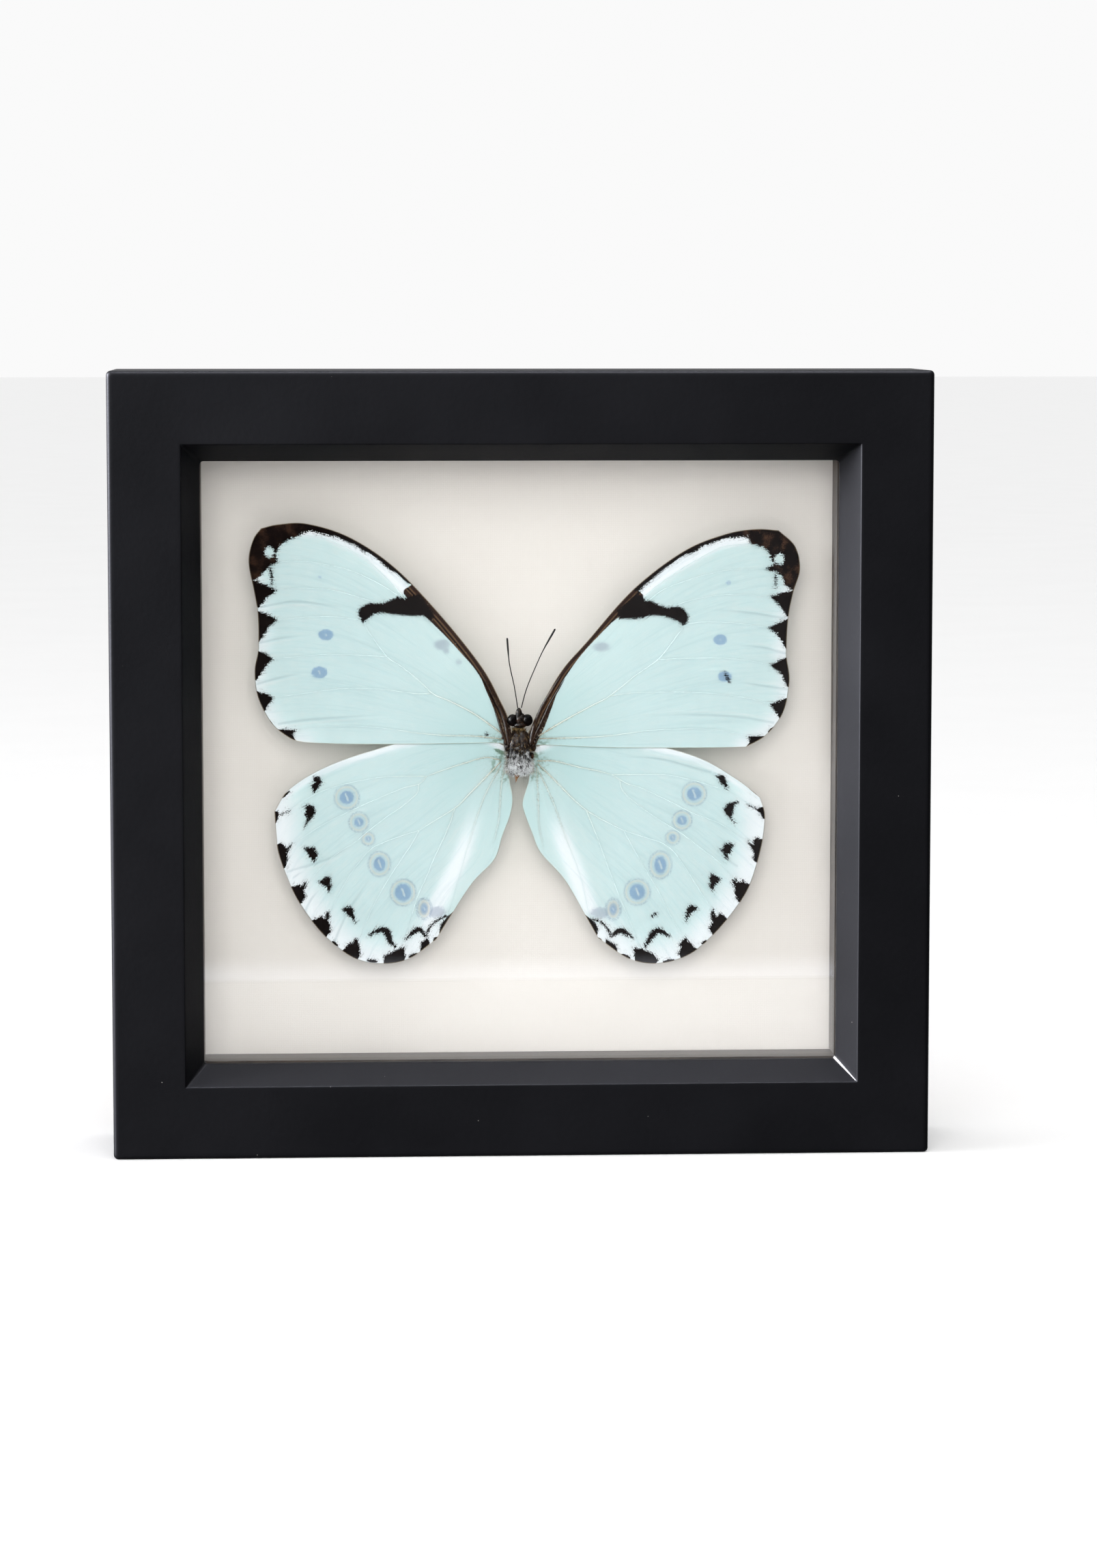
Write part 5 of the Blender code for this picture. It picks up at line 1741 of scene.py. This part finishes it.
@dataclass(frozen=True)
class Softbox:
    """A square area light: its name, place, side in metres, power in watts and tint."""

    name: str
    place: tuple
    size: float
    power: float
    tint: tuple
    gloss_only: bool = False            # only mirror-like light sees it, as a sheen on the paint


@dataclass
class Studio:
    """Pale floor, soft lights and the camera."""

    camera_place: tuple = (-0.0458, -1.0104, 0.1875)
    camera_tilt: float = -5.97
    camera_turn: float = -2.97
    lens: float = 103.78
    sky: float = 0.955
    flag_distance: float = 0.262
    flag_fade: float = 0.008
    foot_flag: float = 0.125
    flag_half_width: float = 2.0
    flag_height: float = 3.0
    target: tuple = (0.0, 0.0, 0.09)    # where the lights point
    softboxes: tuple = (
        Softbox("key_softbox", (-0.14, -1.4, 0.75), 1.1, 12.5, (1.0, 0.985, 0.965)),
        Softbox("fill_softbox", (0.1, -1.3, 0.6), 0.8, 2.0, (0.98, 0.99, 1.0)),
        Softbox("side_sheen", (-1.2, -0.25, 0.5), 0.55, 720.0, (0.96, 0.96, 1.0), gloss_only=True),
        Softbox("top_sheen", (0.05, -0.3, 1.3), 0.5, 150.0, (0.96, 0.96, 1.0), gloss_only=True))

    def build_camera(self) -> None:
        """Set up the camera a metre in front, a little left of the frame and looking down on it."""
        data = bpy.data.cameras.new("camera")
        data.lens, data.sensor_width = self.lens, 36.0
        data.clip_start, data.clip_end = 0.01, 100.0
        camera = bpy.data.objects.new("camera", data)
        camera.location = self.camera_place
        camera.rotation_euler = (math.radians(90 + self.camera_tilt), 0.0, math.radians(self.camera_turn))
        bpy.context.scene.collection.objects.link(camera)
        bpy.context.scene.camera = camera

    def add_plane(self, name: str, corners: list[tuple], material: bpy.types.Material) -> bpy.types.Object:
        """Add a flat stage piece between four corners."""
        mesh = bpy.data.meshes.new(name)
        mesh.from_pydata(corners, [], [(0, 1, 2, 3)])
        mesh.materials.append(material)
        plane = bpy.data.objects.new(name, mesh)
        bpy.context.scene.collection.objects.link(plane)
        return plane

    def build_floor(self) -> None:
        """Lay the floor under the frame's base."""
        reach, level = 12.0, CAD_BOX[0].z
        self.add_plane("floor", [(-reach, -reach, level), (reach, -reach, level), (reach, reach, level),
                                 (-reach, reach, level)], PaleFloor().material())

    def build_flags(self) -> None:
        """Set two black flags that only mirrors see: one stands in front, one lies before the frame's foot.

        The standing one keeps the glass clear down to the height where it mirrors the floor, with a glowing
        foot that softens the border, and the lying one keeps the bottom rail black.
        """
        g = Graph("black_flag")
        up = Value(g, g.node("ShaderNodeSeparateXYZ", {}, {0: g.place()}).outputs[2])
        lit = up.rise(self.flag_fade / MM, 0.5) * up.rise(0.2, 0.3)
        glow = g.node("ShaderNodeEmission", {}, {
            "Color": g.mix(lit, (0.004, 0.004, 0.005, 1.0), (1.75, 1.82, 2.05, 1.0))})
        material = g.done(glow.outputs[0])
        far, near, foot, rise = -self.flag_distance, -self.foot_flag, CAD_BOX[0].y - 0.002, 0.0001
        wide, top = self.flag_half_width, self.flag_height
        standing = [(-wide, far, 0.0), (wide, far, 0.0), (wide, far, top), (-wide, far, top)]
        lying = [(-wide, near, rise), (wide, near, rise), (wide, foot, rise), (-wide, foot, rise)]
        for name, corners in (("standing_flag", standing), ("lying_flag", lying)):
            flag = self.add_plane(name, corners, material)
            flag.visible_camera = flag.visible_diffuse = flag.visible_transmission = False
            flag.visible_shadow = flag.visible_volume_scatter = False

    def add_softbox(self, box: Softbox) -> None:
        """Add an area light that points at the frame."""
        data = bpy.data.lights.new(box.name, "AREA")
        data.shape, data.size, data.energy, data.color = "SQUARE", box.size, box.power, box.tint
        light = bpy.data.objects.new(box.name, data)
        light.location = box.place
        light.rotation_euler = (Vector(self.target) - Vector(box.place)).to_track_quat("-Z", "Y").to_euler()
        light.visible_diffuse = not box.gloss_only
        bpy.context.scene.collection.objects.link(light)

    def build_lights(self) -> None:
        """Light the scene with a pale sky, two softboxes and two lights that only give a sheen."""
        world = bpy.data.worlds.new("pale_sky")
        world.use_nodes = True
        background = world.node_tree.nodes["Background"]
        background.inputs[0].default_value = (1.0, 1.0, 1.0, 1.0)
        background.inputs[1].default_value = self.sky
        bpy.context.scene.world = world
        for box in self.softboxes:
            self.add_softbox(box)

    def build(self) -> None:
        """Build the studio and choose plain colours for the picture."""
        bpy.context.scene.view_settings.view_transform = "Standard"
        self.build_camera()
        self.build_floor()
        self.build_flags()
        self.build_lights()


def main() -> None:
    """Build the studio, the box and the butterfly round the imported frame."""
    logging.basicConfig(level=logging.INFO, format="%(name)s: %(message)s")
    Studio().build()
    box = ShadowBox(nodes=frame["nodes"])
    box.build()
    box.dress()
    scales = WingScales().material()
    for design in (HINDWING_LEFT, HINDWING_RIGHT, FOREWING_LEFT, FOREWING_RIGHT):
        Wing(design).build(scales)
    Body().build()


if __name__ == "__main__":
    main()
